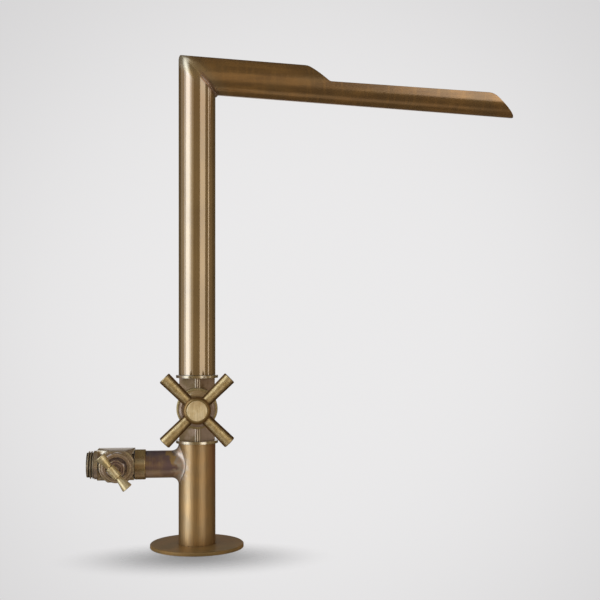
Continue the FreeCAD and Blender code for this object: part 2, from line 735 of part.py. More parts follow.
def swivel_spigot():
    spigot_r = SPIGOT_D / 2
    clip_start = SWIVEL_BUSH_TOP + FACE_GAP
    clip_end = clip_start + SWIVEL_CLIP_THICK + 2 * FACE_GAP
    shoulder_top = UPPER_COLLAR_TOP + SPIGOT_SHOULDER
    body = turned([
        (0, BODY_TOP - SPIGOT_THREAD_LENGTH),
        (SPIGOT_THREAD_D / 2, BODY_TOP - SPIGOT_THREAD_LENGTH),
        (SPIGOT_THREAD_D / 2, BODY_TOP),
        (spigot_r, BODY_TOP),
        (spigot_r, UPPER_COLLAR_TOP),
        (SPIGOT_SHOULDER_D / 2, UPPER_COLLAR_TOP),
        (SPIGOT_SHOULDER_D / 2, shoulder_top),
        (spigot_r, shoulder_top),
        (spigot_r, clip_start),
        (SWIVEL_CLIP_GROOVE_D / 2, clip_start),
        (SWIVEL_CLIP_GROOVE_D / 2, clip_end),
        (spigot_r, clip_end),
        (spigot_r, SPIGOT_TOP),
        (0, SPIGOT_TOP),
    ])
    half_groove = SWIVEL_ORING_SECTION / 2 + BRAZE_GAP
    for height in swivel_oring_heights():
        body = body.cut(ring(2 * SPIGOT_D, 2 * swivel_groove_r(),
                             height - half_groove, height + half_groove))
    return body.cut(rod(SPIGOT_BORE, BODY_TOP - 2 * SPIGOT_THREAD_LENGTH, SPIGOT_TOP + OVERSHOOT))


def swivel_orings():
    inside_r = SPIGOT_D / 2 - SWIVEL_ORING_SECTION
    rings = [oring(inside_r, SWIVEL_ORING_SECTION, height) for height in swivel_oring_heights()]
    return Part.makeCompound(rings)


def swivel_clip():
    start = SWIVEL_BUSH_TOP + 2 * FACE_GAP
    inner = SWIVEL_CLIP_GROOVE_D + 2 * BRAZE_GAP
    clip = ring(SWIVEL_CLIP_D, inner, start, start + SWIVEL_CLIP_THICK)
    mouth = block(SWIVEL_CLIP_D, SWIVEL_CLIP_MOUTH, start - OVERSHOOT,
                  start + SWIVEL_CLIP_THICK + OVERSHOOT)
    mouth.translate(Vector(SWIVEL_CLIP_D / 2, 0, 0))
    return clip.cut(mouth)


def swivel_washer():
    start = UPPER_COLLAR_TOP + SPIGOT_SHOULDER + FACE_GAP
    return ring(SPIGOT_SHOULDER_D, SPIGOT_D + 4 * RUNNING_GAP, start, start + SWIVEL_WASHER_THICK)


def swivel_bush():
    return ring(2 * (COLUMN_BORE_R - BRAZE_GAP), SPIGOT_D + 2 * RUNNING_GAP,
                SWIVEL_BUSH_FOOT, SWIVEL_BUSH_TOP)


# ---- upper column and spout ----------------------------------------------------------------
def fall():
    return math.radians(SPOUT_FALL_DEG)


def beyond_mitre(size):
    """A box that fills the spout's side of the mitre plane."""
    box = Part.makeBox(size, 2 * size, 2 * size, Vector(0, -size, -size))
    box.rotate(Vector(0, 0, 0), Vector(0, 1, 0), (SPOUT_FALL_DEG - 90) / 2)
    box.translate(Vector(0, 0, SPOUT_AXIS_HEIGHT))
    return box


def corner_dressing():
    """The tool that rounds the outside corner of the mitre, as a file would."""
    left = -COLUMN_R - TOOL_TOUCH
    slope = math.tan(fall())
    corner_z = SPOUT_AXIS_HEIGHT + (COLUMN_R + TOOL_TOUCH) / math.cos(fall()) - left * slope
    reach = 2 * MITRE_CORNER_ROUND
    lower = (left, corner_z - reach, 0)
    right = (left + reach, corner_z - reach * slope, 0)
    square = cut_through(rounded_wire([lower, (left - reach, corner_z + reach, 0), right]), COLUMN_OD)
    rounded = cut_through(rounded_wire([lower, (left, corner_z, MITRE_CORNER_ROUND), right]),
                          COLUMN_OD + OVERSHOOT)
    return square.cut(rounded)


def upper_column():
    foot = UPPER_COLLAR_TOP + COLUMN_FOOT_GAP
    top = SPOUT_AXIS_HEIGHT + COLUMN_OD
    tube = ring(COLUMN_OD, 2 * COLUMN_BORE_R, foot, top)
    return largest_solid(tube.cut(beyond_mitre(3 * COLUMN_OD)).cut(corner_dressing()))


def open_top_outline():
    """What is cut off the pipe to open the channel and slant its nose, seen from the side."""
    above = COLUMN_R + TOOL_TOUCH
    below = -COLUMN_R - OVERSHOOT
    clear = 2 * COLUMN_OD
    cut_fall = math.tan(math.radians(CUT_SLOPE_DEG))
    nose_fall = math.tan(math.radians(NOSE_SLOPE_DEG))
    head = SPOUT_CLOSED_LENGTH - TOOL_TOUCH / cut_fall
    foot = SPOUT_CLOSED_LENGTH + (COLUMN_R - RIM_RISE_HEAD) / cut_fall
    tip = SPOUT_RIM_END + (RIM_RISE_END - below) / nose_fall
    return rounded_wire([
        (head - COLUMN_OD, clear, 0),
        (head - COLUMN_OD, above, 0),
        (head, above, CUT_TOP_ROUND),
        (foot, RIM_RISE_HEAD, CUT_FOOT_ROUND),
        (SPOUT_RIM_END, RIM_RISE_END, NOSE_ROUND),
        (tip, below, 0),
        (tip + clear, below, 0),
        (tip + clear, clear, 0),
    ])


def spout():
    """A pipe cut open along its top. It is made along +X, then dipped and mitred."""
    start = -2 * COLUMN_OD
    end = SPOUT_RIM_END + 2 * COLUMN_OD
    outside = Part.makeCylinder(COLUMN_R, end - start, Vector(start, 0, 0), Vector(1, 0, 0))
    inside = Part.makeCylinder(COLUMN_BORE_R, end - start + 2 * OVERSHOOT,
                               Vector(start - OVERSHOOT, 0, 0), Vector(1, 0, 0))
    pipe = outside.cut(inside).cut(cut_through(open_top_outline(), COLUMN_OD))
    pipe = largest_solid(pipe)
    pipe.rotate(Vector(0, 0, 0), Vector(0, 1, 0), SPOUT_FALL_DEG)
    pipe.translate(Vector(0, 0, SPOUT_AXIS_HEIGHT))
    pipe = pipe.common(beyond_mitre(2 * end))
    return largest_solid(pipe.cut(corner_dressing()))


# ---- side valve ----------------------------------------------------------------------------
def side_coupling():
    face = BRANCH_REACH - COUPLING_WASHER_THICK
    right_end = face - COUPLING_LENGTH
    socket_end = right_end + COUPLING_SOCKET
    nose_r = BALL_CHAMBER_D / 2 - BRAZE_GAP
    nose_end = SIDE_AXIS_REACH - SEAT_OUTER
    outer_r = COUPLING_D / 2
    piece = turned([
        (BRANCH_R + BRAZE_GAP, right_end),
        (outer_r - COUPLING_EDGE, right_end),
        (outer_r, right_end + COUPLING_EDGE),
        (outer_r, face),
        (nose_r, face),
        (nose_r, nose_end),
        (COUPLING_BORE / 2, nose_end),
        (COUPLING_BORE / 2, socket_end),
        (BRANCH_R + BRAZE_GAP, socket_end),
    ])
    return along_branch(piece)


def coupling_washer():
    return along_branch(ring(COUPLING_WASHER_OD, BALL_CHAMBER_D,
                             BRANCH_REACH - COUPLING_WASHER_THICK, BRANCH_REACH))


def bar_blank(front):
    """The square bar that the side valve's body is made from, up to a given front."""
    half = BLOCK_SIDE / 2
    return Part.makeBox(BLOCK_LENGTH, half + front, BLOCK_SIDE,
                        Vector(BLOCK_LEFT, -front, BRANCH_HEIGHT - half))


def side_valve_body():
    """Square bar, turned round over its front part and screwed at its left end."""
    shoulder_r = SHOULDER_D / 2
    shoulder = on_side_axis(turned([
        (0, 0),
        (shoulder_r, 0),
        (shoulder_r, SHOULDER_FRONT - SHOULDER_EDGE),
        (shoulder_r - SHOULDER_EDGE, SHOULDER_FRONT),
        (0, SHOULDER_FRONT),
    ]))
    square = bar_blank(BLOCK_FRONT)
    square = square.makeChamfer(BLOCK_EDGE, square.Edges)
    left = -BLOCK_LEFT
    neck_r = OUTLET_NECK_D / 2
    tail = [(0, left - OVERSHOOT), (neck_r, left - OVERSHOOT), (neck_r, left + OUTLET_NECK)]
    tail += thread_profile(OUTLET_THREAD_D, OUTLET_THREAD_CORE, OUTLET_THREAD_PITCH,
                           left + OUTLET_NECK, left + OUTLET_LENGTH)
    tail.append((0, left + OUTLET_LENGTH))
    round_front = shoulder.common(bar_blank(SHOULDER_FRONT))
    body = square.fuse(round_front).fuse(along_branch(turned(tail)))
    step = SIDE_AXIS_REACH + SEAT_OUTER
    body = body.cut(along_branch(rod(BALL_CHAMBER_D, BRANCH_REACH - OVERSHOOT, step)))
    body = body.cut(along_branch(rod(OUTLET_BORE, step - OVERSHOOT, left + OUTLET_LENGTH + OVERSHOOT)))
    bonnet_bore = rod(BONNET_NOSE_D + 2 * BRAZE_GAP, 0, SHOULDER_FRONT + OVERSHOOT)
    body = body.cut(on_side_axis(bonnet_bore))
    return largest_solid(body.removeSplitter())


def side_ball():
    """Its bore lies along the T handle's bar, so it is half open as photographed."""
    ball = Part.makeSphere(BALL_D / 2)
    bore = rod(BALL_BORE, -BALL_D, BALL_D)
    ball = ball.cut(across_handle(bore, T_BAR_ANGLE_DEG, 0))
    ball.translate(Vector(SIDE_AXIS_X, 0, BRANCH_HEIGHT))
    slot = Part.makeBox(BALL_D * 2, BALL_D, BALL_SLOT_WIDTH,
                        Vector(-BALL_D, -BALL_D - BALL_SLOT_FLOOR, -BALL_SLOT_WIDTH / 2))
    slot.rotate(Vector(0, 0, 0), Vector(0, 1, 0), 90 - T_BAR_ANGLE_DEG)
    slot.translate(Vector(SIDE_AXIS_X, 0, BRANCH_HEIGHT))
    return largest_solid(ball.cut(slot))


def side_seat(direction):
    """A seat ring on one side of the ball: direction is 1 away from the column, -1 towards it."""
    near = SIDE_AXIS_REACH + direction * SEAT_INNER
    far = SIDE_AXIS_REACH + direction * (SEAT_OUTER - SEAT_CLEARANCE)
    seat = along_branch(ring(BALL_CHAMBER_D - 2 * BRAZE_GAP, SEAT_BORE, min(near, far), max(near, far)))
    hollow = Part.makeSphere(BALL_D / 2 + SEAT_CLEARANCE, Vector(SIDE_AXIS_X, 0, BRANCH_HEIGHT))
    return largest_solid(seat.cut(hollow))


def stem_bore_r():
    return STEM_D / 2 + RUNNING_GAP


def side_bonnet():
    bonnet_r = BONNET_D / 2
    foot_r = STEM_FOOT_D / 2 + RUNNING_GAP
    foot_end = STEM_FOOT_START + STEM_FOOT_THICK + FACE_GAP
    bonnet = turned([
        (foot_r, BONNET_NOSE_START),
        (BONNET_NOSE_D / 2, BONNET_NOSE_START),
        (BONNET_NOSE_D / 2, SHOULDER_FRONT),
        (bonnet_r, SHOULDER_FRONT),
        (bonnet_r, BONNET_FRONT - BONNET_EDGE),
        (bonnet_r - BONNET_EDGE, BONNET_FRONT),
        (BONNET_DISH_D / 2, BONNET_FRONT),
        (BONNET_DISH_D / 2, DISH_FLOOR),
        (GLAND_BORE_D / 2, DISH_FLOOR),
        (GLAND_BORE_D / 2, GLAND_BORE_START),
        (stem_bore_r(), GLAND_BORE_START),
        (stem_bore_r(), foot_end),
        (foot_r, foot_end),
    ])
    return on_side_axis(bonnet)


def side_stem():
    foot_end = STEM_FOOT_START + STEM_FOOT_THICK
    shoulder = T_BAR_OUT - T_BARREL_D / 2 - BRAZE_GAP
    shaft = turned([
        (0, STEM_FOOT_START),
        (STEM_FOOT_D / 2, STEM_FOOT_START),
        (STEM_FOOT_D / 2, foot_end),
        (STEM_D / 2, foot_end),
        (STEM_D / 2, shoulder),
        (T_STEM_PIN_D / 2, shoulder),
        (T_STEM_PIN_D / 2, stem_pin_end()),
        (0, stem_pin_end()),
    ])
    tang = block(STEM_TANG_WIDTH, BALL_SLOT_WIDTH - 2 * RUNNING_GAP,
                 BALL_SLOT_FLOOR + FACE_GAP, STEM_FOOT_START)
    tang.rotate(Vector(0, 0, 0), Vector(0, 0, 1), T_BAR_ANGLE_DEG + 90)
    return on_side_axis(shaft.fuse(tang).removeSplitter())


def stem_pin_end():
    """The stem's pin stops inside the barrel, so that it doesn't show in front."""
    return T_BAR_OUT + T_BARREL_D / 4


def side_packing():
    packing = ring(GLAND_BORE_D - 2 * BRAZE_GAP, 2 * stem_bore_r(),
                   GLAND_BORE_START, GLAND_BORE_START + PACKING_THICK)
    return on_side_axis(packing)


def side_gland_screw():
    head = chamfered_hexagon(GLAND_FLATS, GLAND_BACK, GLAND_FRONT, GLAND_EDGE)
    shank = rod(GLAND_BORE_D - 2 * BRAZE_GAP, GLAND_BORE_START + PACKING_THICK, GLAND_BACK + OVERSHOOT)
    bore = rod(2 * stem_bore_r() + 2 * RUNNING_GAP, GLAND_BORE_START, GLAND_FRONT + OVERSHOOT)
    return on_side_axis(head.fuse(shank).cut(bore).removeSplitter())


# ---- T handle ------------------------------------------------------------------------------
def on_t_bar(shape, angle_deg):
    """Lays a piece made about Z along the T handle's bar."""
    placed = across_handle(shape, angle_deg, T_BAR_OUT)
    placed.translate(Vector(SIDE_AXIS_X, 0, BRANCH_HEIGHT))
    return placed


def t_barrel():
    half = T_BARREL_LENGTH / 2
    barrel = on_t_bar(rod(T_BARREL_D, -half, half), T_BAR_ANGLE_DEG)
    stem_hole = rod(T_STEM_PIN_D + 2 * BRAZE_GAP, T_BAR_OUT - T_BARREL_D,
                    stem_pin_end() + BRAZE_GAP)
    spot_face = rod(STEM_D + 4 * BRAZE_GAP, T_BAR_OUT - T_BARREL_D, T_BAR_OUT - T_BARREL_D / 2)
    barrel = barrel.cut(on_side_axis(stem_hole)).cut(on_side_axis(spot_face))
    for side in (0, 180):
        seat = rod(T_ARM_SPIGOT_D + 2 * BRAZE_GAP, half - T_ARM_SPIGOT_LENGTH - BRAZE_GAP,
                   half + OVERSHOOT)
        barrel = barrel.cut(on_t_bar(seat, T_BAR_ANGLE_DEG + side))
    return largest_solid(barrel)


def t_arm(side_deg):
    root = T_BARREL_LENGTH / 2
    tip_r = T_ARM_TIP_D / 2
    arm = turned([
        (0, root - T_ARM_SPIGOT_LENGTH),
        (T_ARM_SPIGOT_D / 2, root - T_ARM_SPIGOT_LENGTH),
        (T_ARM_SPIGOT_D / 2, root),
        (T_ARM_ROOT_D / 2, root),
        (tip_r, T_ARM_REACH - T_ARM_TIP_EDGE),
        (tip_r - T_ARM_TIP_EDGE, T_ARM_REACH),
        (0, T_ARM_REACH),
    ])
    return on_t_bar(arm, T_BAR_ANGLE_DEG + side_deg)


# ---- the whole tap -------------------------------------------------------------------------
def all_pieces():
    pieces = {
        "deck_flange": deck_flange(),
        "flange_gasket": flange_gasket(),
        "inlet_plug": inlet_plug(),
        "lower_column": lower_column(),
        "branch_tube": branch_tube(),
        "lower_collar": lower_collar(),
        "valve_body": valve_body(),
        "upper_collar": upper_collar(),
        "headwork_body": headwork_body(),
        "headwork_gasket": headwork_gasket(),
        "headwork_shroud": headwork_shroud(),
        "seat_seal": seat_seal(),
        "fixed_disc": fixed_disc(),
        "moving_disc": moving_disc(),
        "spindle": spindle(),
        "spindle_oring": spindle_oring(),
        "spindle_clip": spindle_clip(),
        "handle_hub": handle_hub(),
        "handle_screw": handle_screw(),
        "index_cap": index_cap(),
        "swivel_spigot": swivel_spigot(),
        "swivel_orings": swivel_orings(),
        "swivel_washer": swivel_washer(),
        "swivel_clip": swivel_clip(),
        "swivel_bush": swivel_bush(),
        "upper_column": upper_column(),
        "spout": spout(),
        "side_coupling": side_coupling(),
        "coupling_washer": coupling_washer(),
        "side_valve_body": side_valve_body(),
        "side_ball": side_ball(),
        "side_seat_outlet": side_seat(1),
        "side_seat_inlet": side_seat(-1),
        "side_bonnet": side_bonnet(),
        "side_stem": side_stem(),
        "side_packing": side_packing(),
        "side_gland_screw": side_gland_screw(),
        "t_handle_barrel": t_barrel(),
        "t_handle_arm_lower": t_arm(0),
        "t_handle_arm_upper": t_arm(180),
    }
    for number, angle in enumerate(arm_angles(), start=1):
        pieces["handle_arm_%d" % number] = handle_arm(angle)
    return pieces


os.makedirs("parts", exist_ok=True)
for name, shape in all_pieces().items():
    print("%-20s solids %d  valid %s  volume %.1f"
          % (name, len(shape.Solids), shape.isValid(), shape.Volume))
    shape.exportStep(os.path.join("parts", name + ".step"))
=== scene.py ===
import math

import bmesh
import bpy
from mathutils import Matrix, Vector


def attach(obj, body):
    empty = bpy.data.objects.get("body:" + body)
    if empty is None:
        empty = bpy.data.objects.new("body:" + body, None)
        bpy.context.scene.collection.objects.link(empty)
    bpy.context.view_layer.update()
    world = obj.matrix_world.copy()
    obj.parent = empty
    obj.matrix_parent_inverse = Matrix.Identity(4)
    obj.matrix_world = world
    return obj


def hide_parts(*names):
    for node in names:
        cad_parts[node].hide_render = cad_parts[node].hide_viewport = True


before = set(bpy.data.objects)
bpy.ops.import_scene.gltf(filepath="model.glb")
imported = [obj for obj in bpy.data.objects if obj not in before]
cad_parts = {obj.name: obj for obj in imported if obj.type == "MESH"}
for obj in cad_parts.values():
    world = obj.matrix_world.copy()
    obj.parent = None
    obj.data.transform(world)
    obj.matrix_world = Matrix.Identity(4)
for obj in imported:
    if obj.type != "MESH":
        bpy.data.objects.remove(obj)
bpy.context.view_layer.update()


# The camera stands level in front of the tap, turned a little to the right. Its place and turn were chosen
# so that the render's outlines fall on the photograph's, with the column taken as 28 mm tube.
PHOTO_SIDE = 600
FOCAL_PIXELS = 1010
HORIZON_ROW = 329
CAMERA_PLACE = (0.0, -0.774, 0.1656)
CAMERA_TURN = 5.82
SENSOR = 36.0


def put(name, data):
    """A new object with this data, at the origin of the scene."""
    made = bpy.data.objects.new(name, data)
    bpy.context.scene.collection.objects.link(made)
    return made


lens = bpy.data.cameras.new("photo_camera")
lens.sensor_width = SENSOR
lens.lens = SENSOR * FOCAL_PIXELS / PHOTO_SIDE
lens.shift_y = (HORIZON_ROW - PHOTO_SIDE / 2) / PHOTO_SIDE
camera = put("photo_camera", lens)
camera.location = CAMERA_PLACE
camera.rotation_euler = (math.pi / 2, 0, -math.radians(CAMERA_TURN))
bpy.context.scene.camera = camera


# The backdrop is pale grey paper, a little dimmer towards the picture's edges and bright again beyond them.
# What the brass mirrors is a dim brown room, with a lighter wall at eye level and a lit table below.
BACKDROP_BRIGHT = (0.828, 0.820, 0.824, 1.0)
BACKDROP_DIM = (0.675, 0.667, 0.671, 1.0)
BACKDROP_MIRRORED = (0.730, 0.720, 0.715, 1.0)
ROOM_DARK = (0.060, 0.045, 0.030, 1.0)
ROOM_WALL = (0.210, 0.170, 0.120, 1.0)
TABLE_BELOW = (0.300, 0.260, 0.205, 1.0)
ROOM_FILL = (0.780, 0.765, 0.745, 1.0)
LOOKING = (math.sin(math.radians(CAMERA_TURN)), math.cos(math.radians(CAMERA_TURN)), 0.0)


class Shade:
    """One value in a node tree. Sums, products and comparisons on it add their Math nodes."""

    def __init__(self, tree, socket=None):
        self.tree = tree
        self.socket = socket

    def node(self, kind, settings=(), inputs=(), output=0):
        """A new node: its settings are set first, then each socket gets its value or its link."""
        made = self.tree.nodes.new(kind)
        for name, value in dict(settings).items():
            if name == "stops":
                stops = made.color_ramp.elements
                while len(stops) < len(value):
                    stops.new(1.0)
                for stop, (place, colour) in zip(stops, value):
                    stop.position = place
                    stop.color = colour
            else:
                setattr(made, name, value)
        for name, value in dict(inputs).items():
            if isinstance(value, Shade):
                self.tree.links.new(value.socket, made.inputs[name])
            else:
                made.inputs[name].default_value = value
        return Shade(self.tree, made.outputs[output] if made.outputs else None)

    def maths(self, operation, *values):
        return self.node("ShaderNodeMath", {"operation": operation}, enumerate(values))

    def __add__(self, other):
        return self.maths("ADD", self, other)

    def __sub__(self, other):
        return self.maths("SUBTRACT", self, other)

    def __rsub__(self, other):
        return self.maths("SUBTRACT", other, self)

    def __mul__(self, other):
        return self.maths("MULTIPLY", self, other)

    def __truediv__(self, other):
        return self.maths("DIVIDE", self, other)

    def __pow__(self, other):
        return self.maths("POWER", self, other)

    def __abs__(self):
        return self.maths("ABSOLUTE", self)

    __radd__ = __add__
    __rmul__ = __mul__

    def vector(self, operation, *values):
        """Vector maths on these values. Dot products and lengths come out as plain numbers."""
        output = 1 if operation in ("DOT_PRODUCT", "LENGTH") else 0
        return self.node("ShaderNodeVectorMath", {"operation": operation}, enumerate(values), output)

    def times(self, way):
        """A vector made this many times as long."""
        return self.node("ShaderNodeVectorMath", {"operation": "SCALE"}, {0: way, "Scale": self})

    def part(self, name):
        """One of x, y and z of a vector."""
        return self.node("ShaderNodeSeparateXYZ", (), {0: self}, "xyz".index(name))

    def step(self, low, high):
        """0 below low, 1 above high, and a smooth rise between them."""
        ends = {"From Min": low, "From Max": high, "Value": self}
        return self.node("ShaderNodeMapRange", {"interpolation_type": "SMOOTHSTEP"}, ends)

    def band(self, low, risen, falling, high):
        """1 from risen to falling, 0 below low and above high, with smooth slopes between."""
        return self.step(low, risen) * (1 - self.step(falling, high))

    def mix(self, first, second):
        """The first colour where this mask is 0 and the second where it is 1."""
        ends = {0: self, 6: first, 7: second}
        return self.node("ShaderNodeMix", {"data_type": "RGBA"}, ends, 2)


world = bpy.data.worlds.new("studio")
world.use_nodes = True
world.node_tree.nodes.clear()
bpy.context.scene.world = world
sky = Shade(world.node_tree)
toward = sky.node("ShaderNodeTexCoord", output=0)
along_view = sky.vector("DOT_PRODUCT", toward, LOOKING)
paper = along_view.step(0.90, 1.00).mix(BACKDROP_DIM, BACKDROP_BRIGHT)
paper = (1 - along_view.step(0.60, 0.85)).mix(paper, BACKDROP_BRIGHT)
level = toward.part("z")
depth = toward.part("y")
wall = level.band(-0.62, -0.34, 0.18, 0.46) * (1 - depth.step(0.10, 0.50))
below = 1 - level.step(-0.990, -0.955)
room = below.mix(wall.mix(ROOM_DARK, ROOM_WALL), TABLE_BELOW)
mirrored = depth.step(0.93, 0.99).mix(room, BACKDROP_MIRRORED)
camera_ray = sky.node("ShaderNodeLightPath", output=0)
glossy_ray = sky.node("ShaderNodeLightPath", output=3)
clear_ray = sky.node("ShaderNodeLightPath", output=6)
unseen = glossy_ray.mix(ROOM_FILL, mirrored)
shown = camera_ray.maths("MAXIMUM", camera_ray, clear_ray).mix(unseen, paper)
air = sky.node("ShaderNodeBackground", (), {"Color": shown, "Strength": 1.0})
sky.node("ShaderNodeOutputWorld", (), {"Surface": air})


# The table is the same paper. It is a round sheet that shows only as a painted shadow: a soft dark pool round
# the foot, with the tap's real shadow in it too. It fades into the backdrop all round, so that no edge shows.
PAPER_RADIUS = 0.34
PAPER_SIDES = 96
PAINTED_SHADOW_COLOUR = (0.340, 0.326, 0.307, 1.0)
PAINTED_SHADOW_PLACE = (-0.0025, -0.0405, 0.0)
PAINTED_SHADOW_SHAPE = (1 / 0.0875, 1 / 0.051, 1.0)

sheet = bpy.data.meshes.new("table_paper")
rim = [
    (PAPER_RADIUS * math.cos(math.tau * i / PAPER_SIDES), PAPER_RADIUS * math.sin(math.tau * i / PAPER_SIDES), 0)
    for i in range(PAPER_SIDES)
]
sheet.from_pydata(rim, [], [tuple(range(PAPER_SIDES))])
table = put("table_paper", sheet)


def new_material(name):
    """An empty material, and the Shade from which its nodes start."""
    material = bpy.data.materials.new(name)
    material.use_nodes = True
    material.node_tree.nodes.clear()
    return material, Shade(material.node_tree)


paper_material, start = new_material("table_paper")
# Painted shadow: the sheet is dark in an oval round a spot in front of the foot, and turns clear outwards.
spot = start.node("ShaderNodeTexCoord", output=3)
from_shadow_centre = spot.vector("SUBTRACT", spot, PAINTED_SHADOW_PLACE)
oval = spot.vector("MULTIPLY", from_shadow_centre, PAINTED_SHADOW_SHAPE)
painted_shadow_out = spot.vector("LENGTH", oval)
painted_shadow_paper = start.node("ShaderNodeBsdfDiffuse", (), {"Color": PAINTED_SHADOW_COLOUR})
clear = start.node("ShaderNodeBsdfTransparent")
faded = start.node("ShaderNodeMixShader", (), {0: painted_shadow_out.step(0.0, 1.2), 1: painted_shadow_paper, 2: clear})
start.node("ShaderNodeOutputMaterial", (), {"Surface": faded})
sheet.materials.append(paper_material)


# Tall soft boxes stand round the tap and make the upright bright strips on the columns. Azimuths and
# spreads are in degrees, counted from the camera's side to the right, and edges are heights in metres.
LAMP_DISTANCE = 1.60
LAMP_WHITE = (0.90, 0.97, 1.06)
LAMP_COOL = (0.76, 0.96, 1.32)
SOFT_BOXES = {
    # name: azimuth, spread, lower edge, upper edge, radiance, colour
    "key_core": (-61, 26, -0.60, 3.00, 1.75, LAMP_COOL),
    "key_soft": (-63, 50, -0.60, 3.00, 1.1, LAMP_COOL),
    "left_wing": (-104, 34, -0.60, 1.20, 0.24, LAMP_WHITE),
    "key_fringe": (-36, 22, -0.60, 1.20, 0.38, LAMP_WHITE),
    "second_box": (33, 34, -0.60, 1.20, 1.12, LAMP_WHITE),
    "edge_strip": (75, 6, -0.02, 1.20, 1.4, LAMP_WHITE),
}

for name, (azimuth, spread, low_edge, high_edge, radiance, colour) in SOFT_BOXES.items():
    width = 2 * LAMP_DISTANCE * math.tan(math.radians(spread / 2))
    lamp = bpy.data.lights.new(name, "AREA")
    lamp.shape = "RECTANGLE"
    lamp.size = width
    lamp.size_y = high_edge - low_edge
    lamp.energy = radiance * math.pi * lamp.size * lamp.size_y
    lamp.color = colour
    box = put(name, lamp)
    turn = math.radians(azimuth)
    out = Vector((math.sin(turn), -math.cos(turn), 0.0))
    box.location = out * LAMP_DISTANCE + Vector((0, 0, (high_edge + low_edge) / 2))
    box.rotation_euler = out.to_track_quat("Z", "Y").to_euler()
    box.visible_camera = False


# Every brass piece is cut from the same alloy, brushed, stained brown and waxed. The foot flange is
# turned, dull and worn. It lies on a rubber ring, and a plug in the column's foot takes hose and stud.
# The darkest stain colour. It is also used as painted shade where it darkens one side of a piece.
STAIN_AND_SHADE_DARK = (0.200, 0.098, 0.027, 1.0)
STAIN_WARM = (0.400, 0.222, 0.062, 1.0)
STAIN_OLIVE = (0.350, 0.235, 0.070, 1.0)
STAIN_MAUVE = (0.340, 0.215, 0.125, 1.0)
BARE_BRASS = (0.760, 0.550, 0.250, 1.0)
CREASE_SHADE_DARK = (0.050, 0.024, 0.008, 1.0)
UP = (0.0, 0.0, 1.0)
FRONT = (0.0, -1.0, 0.0)


def along(x, y, z):
    """Brush lines that run the way whose number is small."""
    return lambda place: place.vector("MULTIPLY", place, (x, y, z))


def about(centre, axis):
    """Brush lines that are rings about an axis, as a lathe leaves them."""

    def rings(place):
        moved = place.vector("SUBTRACT", place, centre)
        depth = place.vector("DOT_PRODUCT", moved, axis)
        onto = depth.times(axis)
        away = place.vector("SUBTRACT", moved, onto)
        out = place.vector("LENGTH", away)
        return place.node("ShaderNodeCombineXYZ", (), {0: out, 1: depth, 2: 0.0})

    return rings


def from_axis(place, centre, across):
    """How far a place lies from an axis through the centre. Across is 0 along the axis and 1 the other ways."""
    moved = place.vector("SUBTRACT", place, centre)
    return place.vector("LENGTH", place.vector("MULTIPLY", moved, across))


def clouds(place, size, seed):
    """Soft patches about this many metres across, from 0 to 1."""
    moved = place.vector("ADD", place, (seed, 0.7 * seed, 1.3 * seed))
    return place.node("ShaderNodeTexNoise", (), {"Vector": moved, "Scale": 1 / size, "Detail": 4.0}).step(0.35, 0.65)


def wax(start, colour, grain, rough=0.16, metal=0.80, coat=1.0, coat_rough=0.14, line_depth=0.00002, edge=0.0003,
        rubbed=0.7, dirt=0.8, blend=None):
    """The finish over the stain: wax, fine lines, edges rubbed bare and painted shade where two pieces meet."""
    rounded = start.node("ShaderNodeBevel", {"samples": 6}, {"Radius": edge})
    faceted = start.node("ShaderNodeNewGeometry", output=1)
    level = start.vector("DOT_PRODUCT", rounded, faceted)
    if blend:
        rounded, waxed = blend(rounded)
        coat = waxed * coat
        rough = (1 - waxed) * 0.14 + rough
    wear_and_highlight = ((1 - level).step(0.01, 0.16) * rubbed).mix(colour, BARE_BRASS)
    # Painted shade: where other surfaces lie close by, the colour is darkened towards near black.
    open_air = start.node("ShaderNodeAmbientOcclusion", {"samples": 6}, {"Distance": 0.0025}, 1)
    dirty = ((1 - open_air).step(0.25, 0.95) * dirt).mix(wear_and_highlight, CREASE_SHADE_DARK)
    lines = {"Strength": 0.35, "Distance": line_depth, "Height": grain, "Normal": rounded}
    sockets = {
        "Base Color": dirty,
        "Metallic": metal,
        "Roughness": grain * 0.12 + (rough - 0.06),
        "Coat Weight": coat,
        "Coat Roughness": coat_rough,
        "Coat IOR": 2.0,
        "Normal": start.node("ShaderNodeBump", (), lines),
    }
    surface = start.node("ShaderNodeBsdfPrincipled", (), sockets)
    start.node("ShaderNodeOutputMaterial", (), {"Surface": surface})


def brass(name, lines, first, second, patch, tint=None, streaks=0.35, fine=2400.0, **finish):
    """Stained brass: two tones in soft patches, brush lines, then what is special to the piece."""
    material, start = new_material(name)
    place = start.node("ShaderNodeTexCoord", output=3)
    noise = {"Vector": lines(place), "Scale": fine, "Detail": 3.0, "Roughness": 0.6}
    grain = start.node("ShaderNodeTexNoise", (), noise)
    tone = clouds(place, patch, len(name)).mix(first, second)
    colour = (grain.step(0.30, 0.70) * streaks).mix(tone, STAIN_AND_SHADE_DARK)
    if tint:
        colour = tint(place, colour)
    wax(start, colour, grain, **finish)
    return material


def dress(material, *names):
    """Gives these CAD nodes this finish."""
    for name in names:
        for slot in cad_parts[name].material_slots:
            slot.material = material


def plain(name, first, second, size, rough, **sockets):
    """A moulded or fired material: two close tones in fine grains, with a slightly uneven face."""
    material, start = new_material(name)
    place = start.node("ShaderNodeTexCoord", output=3)
    mottle = clouds(place, size, len(name))
    lump = start.node("ShaderNodeBump", (), {"Strength": 0.2, "Distance": 0.00005, "Height": mottle})
    sockets.update({"Base Color": mottle.mix(first, second), "Roughness": mottle * 0.1 + rough, "Normal": lump})
    surface = start.node("ShaderNodeBsdfPrincipled", (), sockets)
    start.node("ShaderNodeOutputMaterial", (), {"Surface": surface})
    return material


